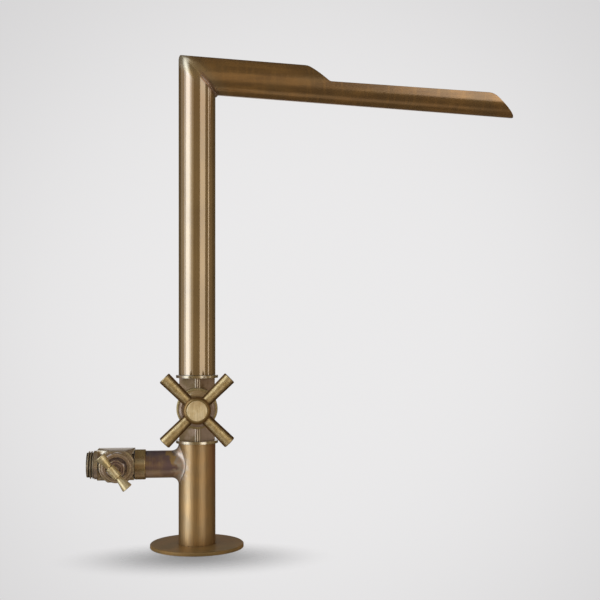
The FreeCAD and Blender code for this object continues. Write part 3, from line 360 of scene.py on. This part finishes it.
FLANGE_TONE = (0.330, 0.175, 0.045, 1.0)
FLANGE_GREEN = (0.235, 0.142, 0.042, 1.0)
flange_brass = brass(
    "flange_brass", about((0, 0, 0), UP), FLANGE_TONE, FLANGE_GREEN, 0.018,
    rough=0.52, metal=0.60, coat=0.0, streaks=0.5, edge=0.0004, rubbed=0.35,
)
inner_brass = brass("inner_brass", about((0, 0, 0), UP), BARE_BRASS, STAIN_WARM, 0.01, rough=0.24)
seal_rubber = plain("seal_rubber", (0.020, 0.020, 0.022, 1), (0.035, 0.034, 0.034, 1), 0.0008, 0.55)
dress(flange_brass, "deck_flange")
dress(inner_brass, "inlet_plug")
dress(seal_rubber, "flange_gasket")


# The lower column is a drawn brass tube, brazed to the branch on its left. The flame has left the metal
# round the joint grey and pink, and the rest warmer and duller than the upper column.
BRANCH_HEIGHT = 0.063
COLUMN_WARM = (0.520, 0.290, 0.090, 1.0)
COLUMN_TAN = (0.440, 0.265, 0.095, 1.0)
BRAZE_GREY = (0.470, 0.365, 0.250, 1.0)
BRAZE_PINK = (0.530, 0.340, 0.205, 1.0)
COPPER_RED = (0.430, 0.160, 0.055, 1.0)


def braze_flush(place, colour):
    """Grey and pink round the brazed joint, painted shade on the far side, and a copper blush there."""
    side = place.vector("SUBTRACT", place, (-0.016, 0.0, BRANCH_HEIGHT))
    away = place.vector("LENGTH", side)
    ragged = clouds(place, 0.004, 5) * 0.004
    near = 1 - (away + ragged).step(0.0115, 0.0195)
    flushed = clouds(place, 0.0025, 9).mix(BRAZE_GREY, BRAZE_PINK)
    blush = place.part("x").step(0.006, 0.013) * place.part("z").step(0.035, 0.070) * 0.55
    painted_right_shade = (place.part("x").step(-0.001, 0.004) * 0.30).mix(colour, STAIN_AND_SHADE_DARK)
    return near.mix(blush.mix(painted_right_shade, COPPER_RED), flushed)


lower_brass = brass(
    "lower_brass", along(1.0, 1.0, 0.03), COLUMN_WARM, COLUMN_TAN, 0.014, braze_flush,
    rough=0.34, metal=0.85, coat=0.28, coat_rough=0.30, streaks=0.4,
)
dress(lower_brass, "lower_column")


# The branch is a short tube with a flared foot, brazed on. Heat has run along it in bands of straw,
# purple and blue, and the brushing goes round it.
STRAW = (0.520, 0.300, 0.085, 1.0)
HEAT_PURPLE = (0.200, 0.115, 0.100, 1.0)
HEAT_BLUE = (0.120, 0.115, 0.135, 1.0)
BRANCH_BROWN = (0.400, 0.235, 0.100, 1.0)


def heat_bands(place, colour):
    """From the column outwards: grey braze, straw, purple-blue, then brown, darker on top."""
    height = place.part("z") - BRANCH_HEIGHT
    lean = height * 0.5
    wander = clouds(place, 0.006, 3) * 0.005
    out = place.part("x") + lean + wander
    upper = height.step(-0.002, 0.003)
    straw = out.band(-0.0185, -0.0160, -0.0125, -0.0100) * upper
    purple = out.band(-0.0265, -0.0235, -0.0185, -0.0160)
    top = height.step(0.005, 0.0095)
    low = (1 - height.step(-0.006, -0.001)) * 0.65
    belt = height.band(-0.0045, -0.002, -0.001, 0.002) * 0.6
    tinted = (top * 0.7).mix(low.mix(colour, BRAZE_PINK), HEAT_BLUE)
    tinted = belt.mix(tinted, HEAT_PURPLE)
    tinted = (straw * 0.75).mix(tinted, STRAW)
    tinted = (purple * 0.45).mix(tinted, HEAT_PURPLE)
    foot = (place.part("x") + wander).step(-0.0155, -0.0120)
    return foot.mix(tinted, clouds(place, 0.0025, 9).mix(BRAZE_GREY, BRAZE_PINK))


branch_brass = brass(
    "branch_brass", about((0, 0, BRANCH_HEIGHT), (1, 0, 0)), BRANCH_BROWN, HEAT_PURPLE, 0.006, heat_bands,
    rough=0.36, metal=0.75, coat=0.2, coat_rough=0.30, streaks=0.5, fine=1600.0, rubbed=0.1,
)
dress(branch_brass, "branch_tube")


# The coupling is a turned sleeve, soldered on the branch and screwed to the stop valve, with a rubber
# washer between. It is yellower than the tube and the valve beside it.
COUPLING_GOLD = (0.520, 0.350, 0.120, 1.0)
COUPLING_HIGHLIGHT = (0.760, 0.560, 0.270, 1.0)


def coupling_highlight(place, colour):
    """A painted highlight: a paler band along the coupling, above its middle."""
    height = place.part("z") - BRANCH_HEIGHT
    return (height.band(0.0005, 0.0025, 0.0040, 0.0065) * 0.8).mix(colour, COUPLING_HIGHLIGHT)


coupling_brass = brass(
    "coupling_brass", about((0, 0, BRANCH_HEIGHT), (1, 0, 0)), COUPLING_GOLD, STAIN_WARM, 0.01, coupling_highlight,
    rough=0.24, coat_rough=0.20, streaks=0.3,
)
dress(coupling_brass, "side_coupling")
dress(seal_rubber, "coupling_washer")


# The stop valve is milled from square bar, and its front is turned round. It is brushed along the bar. The
# hose thread is cut on its left end, and its piece here carries the thread's real helix.
SIDE_AXIS_X = -0.05925
BLOCK_OLIVE = (0.530, 0.385, 0.190, 1.0)
BLOCK_MAUVE = (0.480, 0.345, 0.235, 1.0)
THREAD_TONE = (0.600, 0.480, 0.330, 1.0)
GROOVE_DARK = (0.040, 0.028, 0.018, 1.0)
THREAD_START = -0.0769
THREAD_END = -0.0825
THREAD_CORE = 0.0093155
THREAD_CREST = 0.0104775
THREAD_PITCH = 0.001814
OUTLET_BORE = 0.0055
TOOTH_FOOT = 1.30
TOOTH_CREST = 0.22
PIPE_LAP = 0.0012
CUT_LAP = 0.00002
SAME_PLACE = 0.000001
PIECE_SHARP = math.radians(35)
BLOCK_SHARP = math.radians(25)

block_brass = brass(
    "block_brass", along(0.05, 1.0, 1.0), BLOCK_OLIVE, BLOCK_MAUVE, 0.009,
    rough=0.28, metal=0.75, coat=0.7, coat_rough=0.24, streaks=0.45, edge=0.0006, rubbed=1.0, dirt=1.0,
)


def thread_dirt(place, colour):
    """Darker in the thread's grooves, the more the nearer to the core. The pipe's end face keeps the thread's tone.
    """
    out = from_axis(place, (0, 0, BRANCH_HEIGHT), (0, 1, 1))
    grooved = out.step(THREAD_CORE + 0.0001, THREAD_CREST - 0.0002)
    at_end = 1 - place.part("x").step(THREAD_END + 0.0001, THREAD_END + 0.0003)
    end_face = at_end * out.step(OUTLET_BORE, OUTLET_BORE + 0.0003)
    return grooved.maths("MAXIMUM", grooved, end_face).mix(GROOVE_DARK, colour)


thread_brass = brass(
    "thread_brass", about((0, 0, BRANCH_HEIGHT), (1, 0, 0)), THREAD_TONE, BLOCK_OLIVE, 0.004, thread_dirt,
    rough=0.30, metal=0.75, coat=0.6, coat_rough=0.26, edge=0.00015,
)


def new_rule(name, sizes):
    """A Geometry Nodes tree with these named inputs, and the Shade of each."""
    tree = bpy.data.node_groups.new(name, "GeometryNodeTree")
    for label, kind in sizes.items():
        tree.interface.new_socket(name=label, in_out="INPUT", socket_type="NodeSocket" + kind)
    tree.interface.new_socket(name="Geometry", in_out="OUTPUT", socket_type="NodeSocketGeometry")
    entry = tree.nodes.new("NodeGroupInput")
    return tree, {label: Shade(tree, entry.outputs[label]) for label in sizes}


def close_rule(shape, material):
    """The end of every rule: loose copies made real, and the finish put on."""
    real = shape.node("GeometryNodeRealizeInstances", (), {0: shape})
    faced = shape.node("GeometryNodeSetMaterial", (), {"Geometry": real, "Material": material})
    shape.node("NodeGroupOutput", (), {0: faced})


def made_by(tree, name, values):
    """Runs a rule with these values, and keeps what it makes as a plain smooth mesh."""
    piece = put(name, bpy.data.meshes.new(name))
    rule = piece.modifiers.new(name, "NODES")
    rule.node_group = tree
    for socket in tree.interface.items_tree:
        if socket.in_out == "INPUT":
            rule[socket.identifier] = values[socket.name]
    made = bpy.data.meshes.new_from_object(piece.evaluated_get(bpy.context.evaluated_depsgraph_get()))
    piece.modifiers.remove(rule)
    piece.data = made
    made.name = name
    made.shade_smooth()
    made.set_sharp_from_angle(angle=PIECE_SHARP)
    return piece


hose_rule, size = new_rule("hose_thread", {
    "Start": "Float", "End": "Float", "Core Radius": "Float", "Crest Radius": "Float", "Pitch": "Float",
    "Bore Radius": "Float", "Height": "Float", "Material": "Material",
})
length = size["Start"] - size["End"]
wall = size["Core Radius"] - size["Bore Radius"]
half_way = (size["Core Radius"] + size["Bore Radius"]) / 2
pipe_path = length.node("GeometryNodeCurvePrimitiveCircle", (), {"Resolution": 96, "Radius": half_way})
pipe_side = length.node("GeometryNodeCurvePrimitiveQuadrilateral", (), {"Width": wall, "Height": length})
pipe = length.node("GeometryNodeCurveToMesh", (), {"Curve": pipe_path, "Profile Curve": pipe_side})
turns = (length - size["Pitch"]) / size["Pitch"]
coil = length.node("GeometryNodeCurveSpiral", (), {
    "Resolution": 72, "Rotations": turns, "Start Radius": size["Core Radius"], "End Radius": size["Core Radius"],
    "Height": length - size["Pitch"],
})
depth = size["Crest Radius"] - size["Core Radius"]
tooth = length.node(
    "GeometryNodeCurvePrimitiveQuadrilateral", {"mode": "TRAPEZOID"},
    {
        "Height": depth * 2, "Bottom Width": size["Pitch"] * TOOTH_FOOT,
        "Top Width": size["Pitch"] * TOOTH_CREST, "Offset": 0.0,
    },
)
turned = length.node("GeometryNodeTransform", (), {"Geometry": tooth, "Rotation": (0.0, 0.0, math.pi / 2)})
run = length.node("GeometryNodeSplineParameter", output=0)
fade_in = run.band(0.0, 0.06, 0.94, 1.0) * 0.98 + 0.02
upright = length.node("GeometryNodeSetCurveNormal", {"mode": "Z_UP"}, {"Curve": coil})
ridge = length.node(
    "GeometryNodeCurveToMesh", (), {"Curve": upright, "Profile Curve": turned, "Scale": fade_in, "Fill Caps": True}
)
lifted = length.node("GeometryNodeTransform", (), {
    "Geometry": ridge,
    "Translation": length.node("ShaderNodeCombineXYZ", (), {2: (length - size["Pitch"]) * -0.5}),
})
joined = length.node("GeometryNodeJoinGeometry", (), {0: pipe})
length.tree.links.new(lifted.socket, joined.socket.node.inputs[0])
middle = (size["Start"] + size["End"]) / 2
laid = length.node("GeometryNodeTransform", (), {
    "Geometry": joined,
    "Translation": length.node("ShaderNodeCombineXYZ", (), {0: middle, 2: size["Height"]}),
    "Rotation": (0.0, math.pi / 2, 0.0),
})
close_rule(laid, size["Material"])
hose_thread = made_by(hose_rule, "hose_thread", {
    "Start": THREAD_START + PIPE_LAP, "End": THREAD_END, "Core Radius": THREAD_CORE, "Crest Radius": THREAD_CREST,
    "Pitch": THREAD_PITCH, "Bore Radius": OUTLET_BORE, "Height": BRANCH_HEIGHT, "Material": thread_brass,
})
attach(hose_thread, "tap_base")

block = bmesh.new()
block.from_mesh(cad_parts["side_valve_body"].data)
bmesh.ops.remove_doubles(block, verts=block.verts, dist=SAME_PLACE)
everything = block.verts[:] + block.edges[:] + block.faces[:]
bmesh.ops.bisect_plane(
    block, geom=everything, plane_co=(THREAD_START + CUT_LAP, 0, 0), plane_no=(1, 0, 0), clear_inner=True
)
block_mesh = bpy.data.meshes.new("stop_valve_block")
block.to_mesh(block_mesh)
block.free()
block_mesh.materials.append(block_brass)
block_mesh.shade_smooth()
block_mesh.set_sharp_from_angle(angle=BLOCK_SHARP)
stop_valve_block = put("stop_valve_block", block_mesh)
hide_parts("side_valve_body")
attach(stop_valve_block, "tap_base")


# The bonnet is screwed into the block's front. Its dish holds a hexagon gland screw, which presses the
# packing round the stem. The dish is coloured darker than the rim, and its rim is rubbed bright.
SIDE_AXIS = (SIDE_AXIS_X, 0.0, BRANCH_HEIGHT)
DISH_PURPLE = (0.210, 0.120, 0.095, 1.0)
BONNET_TAN = (0.450, 0.325, 0.180, 1.0)
GLAND_PINK = (0.560, 0.390, 0.260, 1.0)
RING_STEP = 0.0019
DISH_RADIUS = 0.0078
DISH_EDGE = 0.0084


def dish_shade(place, colour):
    """The dish is darker than the bonnet's rim, and the lathe's rings show in both."""
    out = from_axis(place, SIDE_AXIS, (1, 0, 1))
    rings = out.maths("SINE", out * (math.tau / RING_STEP)).step(0.1, 0.9)
    dish = (rings * 0.70).mix(DISH_PURPLE, GLAND_PINK)
    rim = ((1 - rings) * 0.55).mix(colour, STAIN_AND_SHADE_DARK)
    return out.step(DISH_RADIUS, DISH_EDGE).mix(dish, rim)


bonnet_brass = brass(
    "bonnet_brass", about(SIDE_AXIS, FRONT), BONNET_TAN, GLAND_PINK, 0.006, dish_shade,
    rough=0.26, metal=0.7, coat_rough=0.22, fine=1500.0, streaks=0.35, edge=0.0005, rubbed=1.0, dirt=0.6,
)
gland_brass = brass(
    "gland_brass", about(SIDE_AXIS, FRONT), GLAND_PINK, DISH_PURPLE, 0.007, dish_shade,
    rough=0.24, edge=0.0005, rubbed=1.0,
)
stem_brass = brass("stem_brass", about(SIDE_AXIS, FRONT), STAIN_WARM, BARE_BRASS, 0.004, rough=0.22)
white_plastic = plain(
    "white_plastic", (0.80, 0.79, 0.76, 1), (0.74, 0.73, 0.70, 1), 0.003, 0.32, **{"Subsurface Weight": 0.1}
)
polished_chrome = plain("polished_chrome", (0.62, 0.63, 0.65, 1), (0.56, 0.57, 0.59, 1), 0.004, 0.08, Metallic=1.0)
dress(bonnet_brass, "side_bonnet")
dress(gland_brass, "side_gland_screw")
dress(stem_brass, "side_stem")
dress(white_plastic, "side_packing", "side_seat_inlet", "side_seat_outlet")
dress(polished_chrome, "side_ball")


# The T handle is a short barrel on the stem, with two turned arms that widen outwards. It is rubbed nearly
# to bare yellow brass.
T_BAR_PLACE = (SIDE_AXIS_X, -0.0419, BRANCH_HEIGHT)
T_BAR_ANGLE = -50
POLISHED_GOLD = (0.860, 0.680, 0.370, 1.0)
POLISHED_STRAW = (0.740, 0.540, 0.240, 1.0)
bar_way = (math.cos(math.radians(T_BAR_ANGLE)), 0.0, math.sin(math.radians(T_BAR_ANGLE)))
t_brass = brass(
    "t_brass", about(T_BAR_PLACE, bar_way), POLISHED_GOLD, POLISHED_STRAW, 0.006,
    rough=0.38, metal=0.85, coat=0.0, streaks=0.18, fine=1600.0, line_depth=0.00025,
)
dress(t_brass, "t_handle_barrel")

arms_rule, size = new_rule("tapered_arms", {
    "Count": "Int", "Start": "Float", "Reach": "Float", "Root Radius": "Float", "Tip Radius": "Float",
    "Chamfer": "Float", "First Angle": "Float", "Centre": "Vector", "Material": "Material",
})
length = size["Reach"] - size["Start"]
line = length.node("GeometryNodeCurvePrimitiveLine", (), {
    "Start": length.node("ShaderNodeCombineXYZ", (), {0: size["Start"]}),
    "End": length.node("ShaderNodeCombineXYZ", (), {0: size["Reach"]}),
})
stations = length.node("GeometryNodeResampleCurve", (), {"Curve": line, "Count": length / size["Chamfer"] + 1})
way = length.node("GeometryNodeSplineParameter", output=1)
taper = way / (length - size["Chamfer"]) * (size["Tip Radius"] - size["Root Radius"]) + size["Root Radius"]
cut_back = way.maths("MAXIMUM", way - (length - size["Chamfer"]), 0.0)
outline = length.node("GeometryNodeCurvePrimitiveCircle", (), {"Resolution": 56, "Radius": 1.0})
arm = length.node("GeometryNodeCurveToMesh", (), {
    "Curve": stations, "Profile Curve": outline, "Fill Caps": True,
    "Scale": taper.maths("MINIMUM", taper, size["Tip Radius"]) - cut_back,
})
spots = length.node("GeometryNodeMeshLine", (), {"Count": size["Count"], "Offset": (0.0, 0.0, 0.0)})
turn = (length.node("GeometryNodeInputIndex") / size["Count"] * math.tau + size["First Angle"]) * -1
arms = length.node("GeometryNodeInstanceOnPoints", (), {
    "Points": spots, "Instance": arm, "Rotation": length.node("ShaderNodeCombineXYZ", (), {1: turn}),
})
placed = length.node("GeometryNodeTransform", (), {"Geometry": arms, "Translation": size["Centre"]})
close_rule(placed, size["Material"])
t_arms = made_by(arms_rule, "t_handle_arms", {
    "Count": 2, "Start": 0.0045, "Reach": 0.015, "Root Radius": 0.002, "Tip Radius": 0.004, "Chamfer": 0.0004,
    "First Angle": math.radians(T_BAR_ANGLE), "Centre": T_BAR_PLACE, "Material": t_brass,
})
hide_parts("t_handle_arm_lower", "t_handle_arm_upper")
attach(t_arms, "side_handle")


# The main valve is square bar standing on edge between two thin turned collars. Its left face is coloured olive
# and its right face brown and mauve. A round boss in front takes the headwork.
VALVE_AXIS = (0.0, 0.0, 0.1063)
FACE_OLIVE = (0.165, 0.098, 0.034, 1.0)
FACE_MAUVE = (0.340, 0.220, 0.130, 1.0)
BOSS_OLIVE = (0.430, 0.310, 0.125, 1.0)
HIGHLIGHT_CREAM = (1.000, 0.820, 0.570, 1.0)
EDGE_HIGHLIGHTS = {-0.0013: 0.25, 0.0003: 1.0, 0.0019: 1.0}
RING_MAUVE = (0.480, 0.350, 0.260, 1.0)
SHROUD_TOP_LIGHT = (0.640, 0.430, 0.200, 1.0)
COLLAR_GOLD = (0.480, 0.325, 0.130, 1.0)
COLLAR_HIGHLIGHT_X = 0.0050


def two_faces(place, colour):
    """Olive to the left of the bar's front edge, mauve to the right, three painted highlights on the edge itself."""
    ringed = (1 - place.part("y").step(-0.0185, -0.0150)) * 0.8
    sided = place.part("x").step(-0.002, 0.002).mix(FACE_OLIVE, FACE_MAUVE)
    sided = clouds(place, 0.008, 2).mix(sided, colour)
    low = 1 - place.part("z").step(VALVE_AXIS[2] - 0.014, VALVE_AXIS[2] - 0.007)
    foot = low * place.part("x").step(0.001, 0.004)
    sided = (foot * 0.6).mix(sided, RING_MAUVE)
    # Painted highlights: thin bright lines down the bar's rounded front edge.
    for at, share in EDGE_HIGHLIGHTS.items():
        off = place.part("x") - at
        line = (1 - abs(off).step(0.0001, 0.0004)) * share
        sided = line.mix(sided, HIGHLIGHT_CREAM)
    return ringed.mix(sided, BOSS_OLIVE)


valve_brass = brass(
    "valve_brass", along(1.0, 1.0, 0.06), FACE_MAUVE, FACE_OLIVE, 0.01, two_faces,
    rough=0.40, metal=0.65, coat=0.0, streaks=0.35, edge=0.0004, rubbed=0.3, dirt=0.6,
)


def collar_highlight_and_shade(place, colour):
    """The collars carry a painted highlight a little to the right of their middle, and painted shade on their left.
    """
    left_shade = 1 - place.part("x").step(-0.0125, -0.0085)
    off = place.part("x") - COLLAR_HIGHLIGHT_X
    right = 1 - abs(off).step(0.0005, 0.0030)
    wear_and_highlight = (right * 0.8).mix(colour, HIGHLIGHT_CREAM)
    return (left_shade * 0.7).mix(wear_and_highlight, STAIN_AND_SHADE_DARK)


collar_brass = brass(
    "collar_brass", about((0, 0, 0), UP), COLLAR_GOLD, STAIN_OLIVE, 0.01, collar_highlight_and_shade,
    rough=0.24, coat_rough=0.20, streaks=0.2,
)


def shroud_top_light(place, colour):
    """Painted light: the shroud's upper side is a lighter, warmer brown than the rest."""
    above = place.part("z").step(VALVE_AXIS[2] + 0.003, VALVE_AXIS[2] + 0.009)
    return above.mix(colour, SHROUD_TOP_LIGHT)


shroud_brass = brass(
    "shroud_brass", about(VALVE_AXIS, FRONT), RING_MAUVE, STAIN_MAUVE, 0.008, shroud_top_light,
    rough=0.34, metal=0.7, coat=0.2, coat_rough=0.3, streaks=0.25, fine=1500.0, dirt=0.4,
)
dress(valve_brass, "valve_body")
dress(collar_brass, "lower_collar", "upper_collar")
dress(shroud_brass, "headwork_shroud")


# Inside the boss sits a quarter-turn headwork: a brass body on a gasket, two ceramic discs with ports,
# and the spindle with its ring and spring clip. None of it shows while the tap is whole.
white_ceramic = plain("white_ceramic", (0.84, 0.83, 0.80, 1), (0.78, 0.77, 0.74, 1), 0.002, 0.12)
spring_steel = plain("spring_steel", (0.36, 0.35, 0.34, 1), (0.28, 0.27, 0.27, 1), 0.003, 0.24, Metallic=1.0)
headwork_brass = brass("headwork_brass", about(VALVE_AXIS, FRONT), BARE_BRASS, STAIN_WARM, 0.008, rough=0.24)
dress(headwork_brass, "headwork_body", "spindle")
dress(seal_rubber, "headwork_gasket", "seat_seal", "spindle_oring")
dress(white_ceramic, "fixed_disc", "moving_disc")
dress(spring_steel, "spindle_clip", "handle_screw")


# The cross handle is a turned hub with four arms screwed into flats on its side. They widen towards
# their flat ends, and are rubbed golden. A round cap with upright brush lines hides the handle's screw.
HANDLE_PLACE = (0.0, -0.0345, 0.1063)
HUB_BROWN = (0.300, 0.190, 0.060, 1.0)
HUB_GOLD = (0.400, 0.265, 0.090, 1.0)
ARM_GOLD = (0.760, 0.545, 0.250, 1.0)
ARM_BROWN = (0.560, 0.370, 0.140, 1.0)
CAP_GOLD = (0.860, 0.660, 0.360, 1.0)
CAP_TAN = (0.740, 0.530, 0.250, 1.0)
HUB_LIGHT_TO = 0.0078
HUB_DARK_FROM = 0.0088
ARM_RADIUS = 0.0045


def hub_edge(place, colour):
    """The hub is darker towards its outer edge, and lighter round the cap."""
    out = from_axis(place, VALVE_AXIS, (1, 0, 1))
    return (out.step(HUB_LIGHT_TO, HUB_DARK_FROM) * 0.85).mix(colour, STAIN_AND_SHADE_DARK)


def cap_tone(place, colour):
    """The cap is browner towards its top."""
    upper = place.part("z").step(VALVE_AXIS[2] + 0.001, VALVE_AXIS[2] + 0.006)
    return (upper * 0.45).mix(colour, STAIN_WARM)


hub_brass = brass(
    "hub_brass", about(VALVE_AXIS, FRONT), HUB_BROWN, HUB_GOLD, 0.006, hub_edge, rough=0.34, coat=0.0, streaks=0.3
)
cap_brass = brass(
    "cap_brass", along(1.0, 1.0, 0.04), CAP_GOLD, CAP_TAN, 0.004, cap_tone,
    rough=0.40, metal=0.6, coat=0.0, streaks=0.3, fine=1500.0, line_depth=0.00040,
)


def shaded_sides(depth, radius):
    """Painted shade: a round bar's sides and back are painted dark, and its front keeps the brass tone."""
    return lambda place, colour: (
        (place.part("y") - depth).step(-0.95 * radius, -0.55 * radius).mix(colour, STAIN_AND_SHADE_DARK)
    )


arm_brass = brass(
    "arm_brass", about(HANDLE_PLACE, FRONT), ARM_GOLD, ARM_BROWN, 0.0035, shaded_sides(HANDLE_PLACE[1], ARM_RADIUS),
    rough=0.42, metal=0.90, coat=0.0, streaks=0.3, fine=1600.0, line_depth=0.00025,
)
dress(hub_brass, "handle_hub")
dress(cap_brass, "index_cap")
cross_arms = made_by(arms_rule, "cross_handle_arms", {
    "Count": 4, "Start": 0.0091, "Reach": 0.0336, "Root Radius": 0.0041, "Tip Radius": 0.0048,
    "Chamfer": 0.0005, "First Angle": math.radians(45), "Centre": HANDLE_PLACE, "Material": arm_brass,
})
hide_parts("handle_arm_1", "handle_arm_2", "handle_arm_3", "handle_arm_4")
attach(cross_arms, "cross_handle")


# The spout turns on a brass spigot that is screwed through the upper collar. Two rubber rings seal it,
# and a bush soldered in the upper column runs on it, held down by a plastic washer and a spring clip.
dress(inner_brass, "swivel_spigot", "swivel_bush")
dress(seal_rubber, "swivel_orings")
dress(white_plastic, "swivel_washer")
dress(spring_steel, "swivel_clip")


# The upper column is drawn tube, mitred at its top. It is brushed upright and waxed to a shine, which
# keeps the lamps' strips sharp.
COLUMN_BRONZE = (0.400, 0.240, 0.075, 1.0)
COLUMN_UMBER = (0.345, 0.205, 0.062, 1.0)
MITRE_TONE = (0.390, 0.255, 0.110, 1.0)
MITRE_HIGHLIGHT = (0.520, 0.410, 0.255, 1.0)
MITRE_BURNT = (0.230, 0.115, 0.065, 1.0)
TOP_RUST = (0.375, 0.200, 0.058, 1.0)
MITRE_PLACE = (0.0, 0.0, 0.359)
MITRE_NORMAL = (0.7258, 0.0, 0.6879)
MITRE_ROUND = 0.0075
MITRE_CREASE = 0.0020


def mitre_depth(place):
    """How far a place lies beyond the mitre's plane. It is negative on the column."""
    moved = place.vector("SUBTRACT", place, MITRE_PLACE)
    return place.vector("DOT_PRODUCT", moved, MITRE_NORMAL)


def mitre_stain_and_highlight(place, colour):
    """The weld's heat has left both tubes the same brown beside the mitre, and burnt red-brown along its inner
    half. A painted highlight makes the outer corner paler."""
    far = mitre_depth(place)
    off = abs(far)
    stained = ((1 - off.step(0.0, 0.012)) * 0.8).mix(colour, MITRE_TONE)
    corner = (1 - off.step(0.004, 0.008)) * (1 - place.part("x").step(-0.0075, -0.0045))
    burnt = (1 - off.step(0.0008, 0.0034)) * place.part("x").step(0.0, 0.005)
    return (burnt * 0.8).mix((corner * 0.8).mix(stained, MITRE_HIGHLIGHT), MITRE_BURNT)


def mitre_blend(normal):
    """The mitre's outer half is filed round: there the two tubes' faces turn into one another, with less wax."""
    far = mitre_depth(normal.node("ShaderNodeTexCoord", output=3))
    facing = normal.vector("DOT_PRODUCT", normal, MITRE_NORMAL)
    outer = (far.maths("SIGN", far) * facing).step(-0.05, 0.10)
    reach = outer * (MITRE_ROUND - MITRE_CREASE) + MITRE_CREASE
    share = 1 - (abs(far) / reach).step(0.0, 1.0)
    back = (share * facing).times(MITRE_NORMAL)
    turned = normal.vector("SUBTRACT", normal, back)
    return normal.vector("NORMALIZE", turned), 1 - share.step(0.0, 0.3)


def column_stain(place, colour):
    """The upper column turns redder towards the mitre."""
    redder = place.part("z").step(0.290, 0.345) * 0.6
    return mitre_stain_and_highlight(place, redder.mix(colour, TOP_RUST))


upper_brass = brass(
    "upper_brass", along(1.0, 1.0, 0.015), COLUMN_BRONZE, COLUMN_UMBER, 0.03, column_stain,
    rough=0.13, coat_rough=0.10, streaks=0.25, line_depth=0.00001, blend=mitre_blend,
)
dress(upper_brass, "upper_column")


# The spout is the same tube, with its top half cut away past the first third. It is stained redder than
# the column and brushed along its length.
SPOUT_RUST = (0.500, 0.250, 0.064, 1.0)
SPOUT_BROWN = (0.360, 0.195, 0.060, 1.0)
STREAK_AND_SHADE_BROWN = (0.200, 0.098, 0.030, 1.0)
SPOUT_SLOPE = math.tan(math.radians(3.07))
SPOUT_HEIGHT = 0.359
RIM_SHADE_DEPTH = 0.0045


def spout_marks(place, colour):
    """Long cloudy streaks of stain along the spout, a few faint marks across it, and a strip of painted shade
    below the rim on the channel's first half."""
    long_way = place.vector("MULTIPLY", place, (0.16, 1.0, 1.0))
    cross_way = place.vector("MULTIPLY", place, (1.0, 0.2, 0.12))
    streak = clouds(long_way, 0.005, 11) * 0.45
    mark = clouds(cross_way, 0.0035, 21).step(0.80, 0.98) * 0.30
    below = SPOUT_HEIGHT - place.part("x") * SPOUT_SLOPE - place.part("z")
    channel = place.part("x").band(0.092, 0.104, 0.130, 0.210)
    rim_shade = (1 - below.step(0.0010, RIM_SHADE_DEPTH)) * channel * 0.60
    streaky = streak.mix(colour, STREAK_AND_SHADE_BROWN)
    return mitre_stain_and_highlight(place, mark.mix(rim_shade.mix(streaky, STREAK_AND_SHADE_BROWN), SPOUT_RUST))


spout_brass = brass(
    "spout_brass", along(0.02, 1.0, 1.0), SPOUT_RUST, SPOUT_BROWN, 0.02, spout_marks,
    rough=0.22, coat=0.6, coat_rough=0.19, streaks=0.35, blend=mitre_blend,
)
dress(spout_brass, "spout")


# The mitre is welded from outside. Its outer half is filed and polished away, and on the inner half a
# narrow pink scar is left, which swells into a small fillet in the inner corner.
SCAR_PINK = (0.620, 0.450, 0.350, 1.0)
SCAR_BROWN = (0.300, 0.170, 0.080, 1.0)
SCAR_REACH = 0.01385
MITRE_SLOPE = 1.0551
scar_brass = brass(
    "scar_brass", along(1.0, 1.0, 1.0), SCAR_PINK, SCAR_BROWN, 0.0012, rough=0.26, fine=1200.0, edge=0.0001
)
scar_rule, size = new_rule("mitre_scar", {
    "Tube Radius": "Float", "Height": "Float", "Slope": "Float", "Width": "Float", "Fillet": "Float",
    "Half Arc": "Float", "Material": "Material",
})
arc = size["Width"].node("GeometryNodeCurveArc", (), {
    "Resolution": 240, "Radius": size["Tube Radius"], "Start Angle": size["Half Arc"] * -1,
    "Sweep Angle": size["Half Arc"] * 2,
})
spot = arc.node("GeometryNodeInputPosition")
drop = arc.node("ShaderNodeCombineXYZ", (), {2: size["Height"] - spot.part("x") * size["Slope"]})
leaning = arc.node("GeometryNodeSetPosition", (), {"Geometry": arc, "Offset": drop})
run = arc.node("GeometryNodeSplineParameter", output=0)
corner = 1 - abs(run - 0.5).step(0.0, 0.16)
ends = run.band(0.0, 0.10, 0.90, 1.0)
rough_edge = arc.node("ShaderNodeTexNoise", (), {"Scale": 700.0, "Detail": 3.0}) * 0.9 + 0.55
bead = arc.node("GeometryNodeCurveToMesh", (), {
    "Curve": leaning,
    "Profile Curve": arc.node("GeometryNodeCurvePrimitiveCircle", (), {"Resolution": 14, "Radius": 1.0}),
    "Fill Caps": True,
    "Scale": (size["Width"] + corner * size["Fillet"]) * (ends * 0.95 + 0.05) * rough_edge,
})
close_rule(bead, size["Material"])
mitre_scar = made_by(scar_rule, "mitre_scar", {
    "Tube Radius": SCAR_REACH, "Height": SPOUT_HEIGHT, "Slope": MITRE_SLOPE, "Width": 0.00042, "Fillet": 0.0012,
    "Half Arc": math.radians(84), "Material": scar_brass,
})
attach(mitre_scar, "swivel_spout")


# Colours are shown as they are, without a film look.
bpy.context.scene.view_settings.view_transform = "Standard"
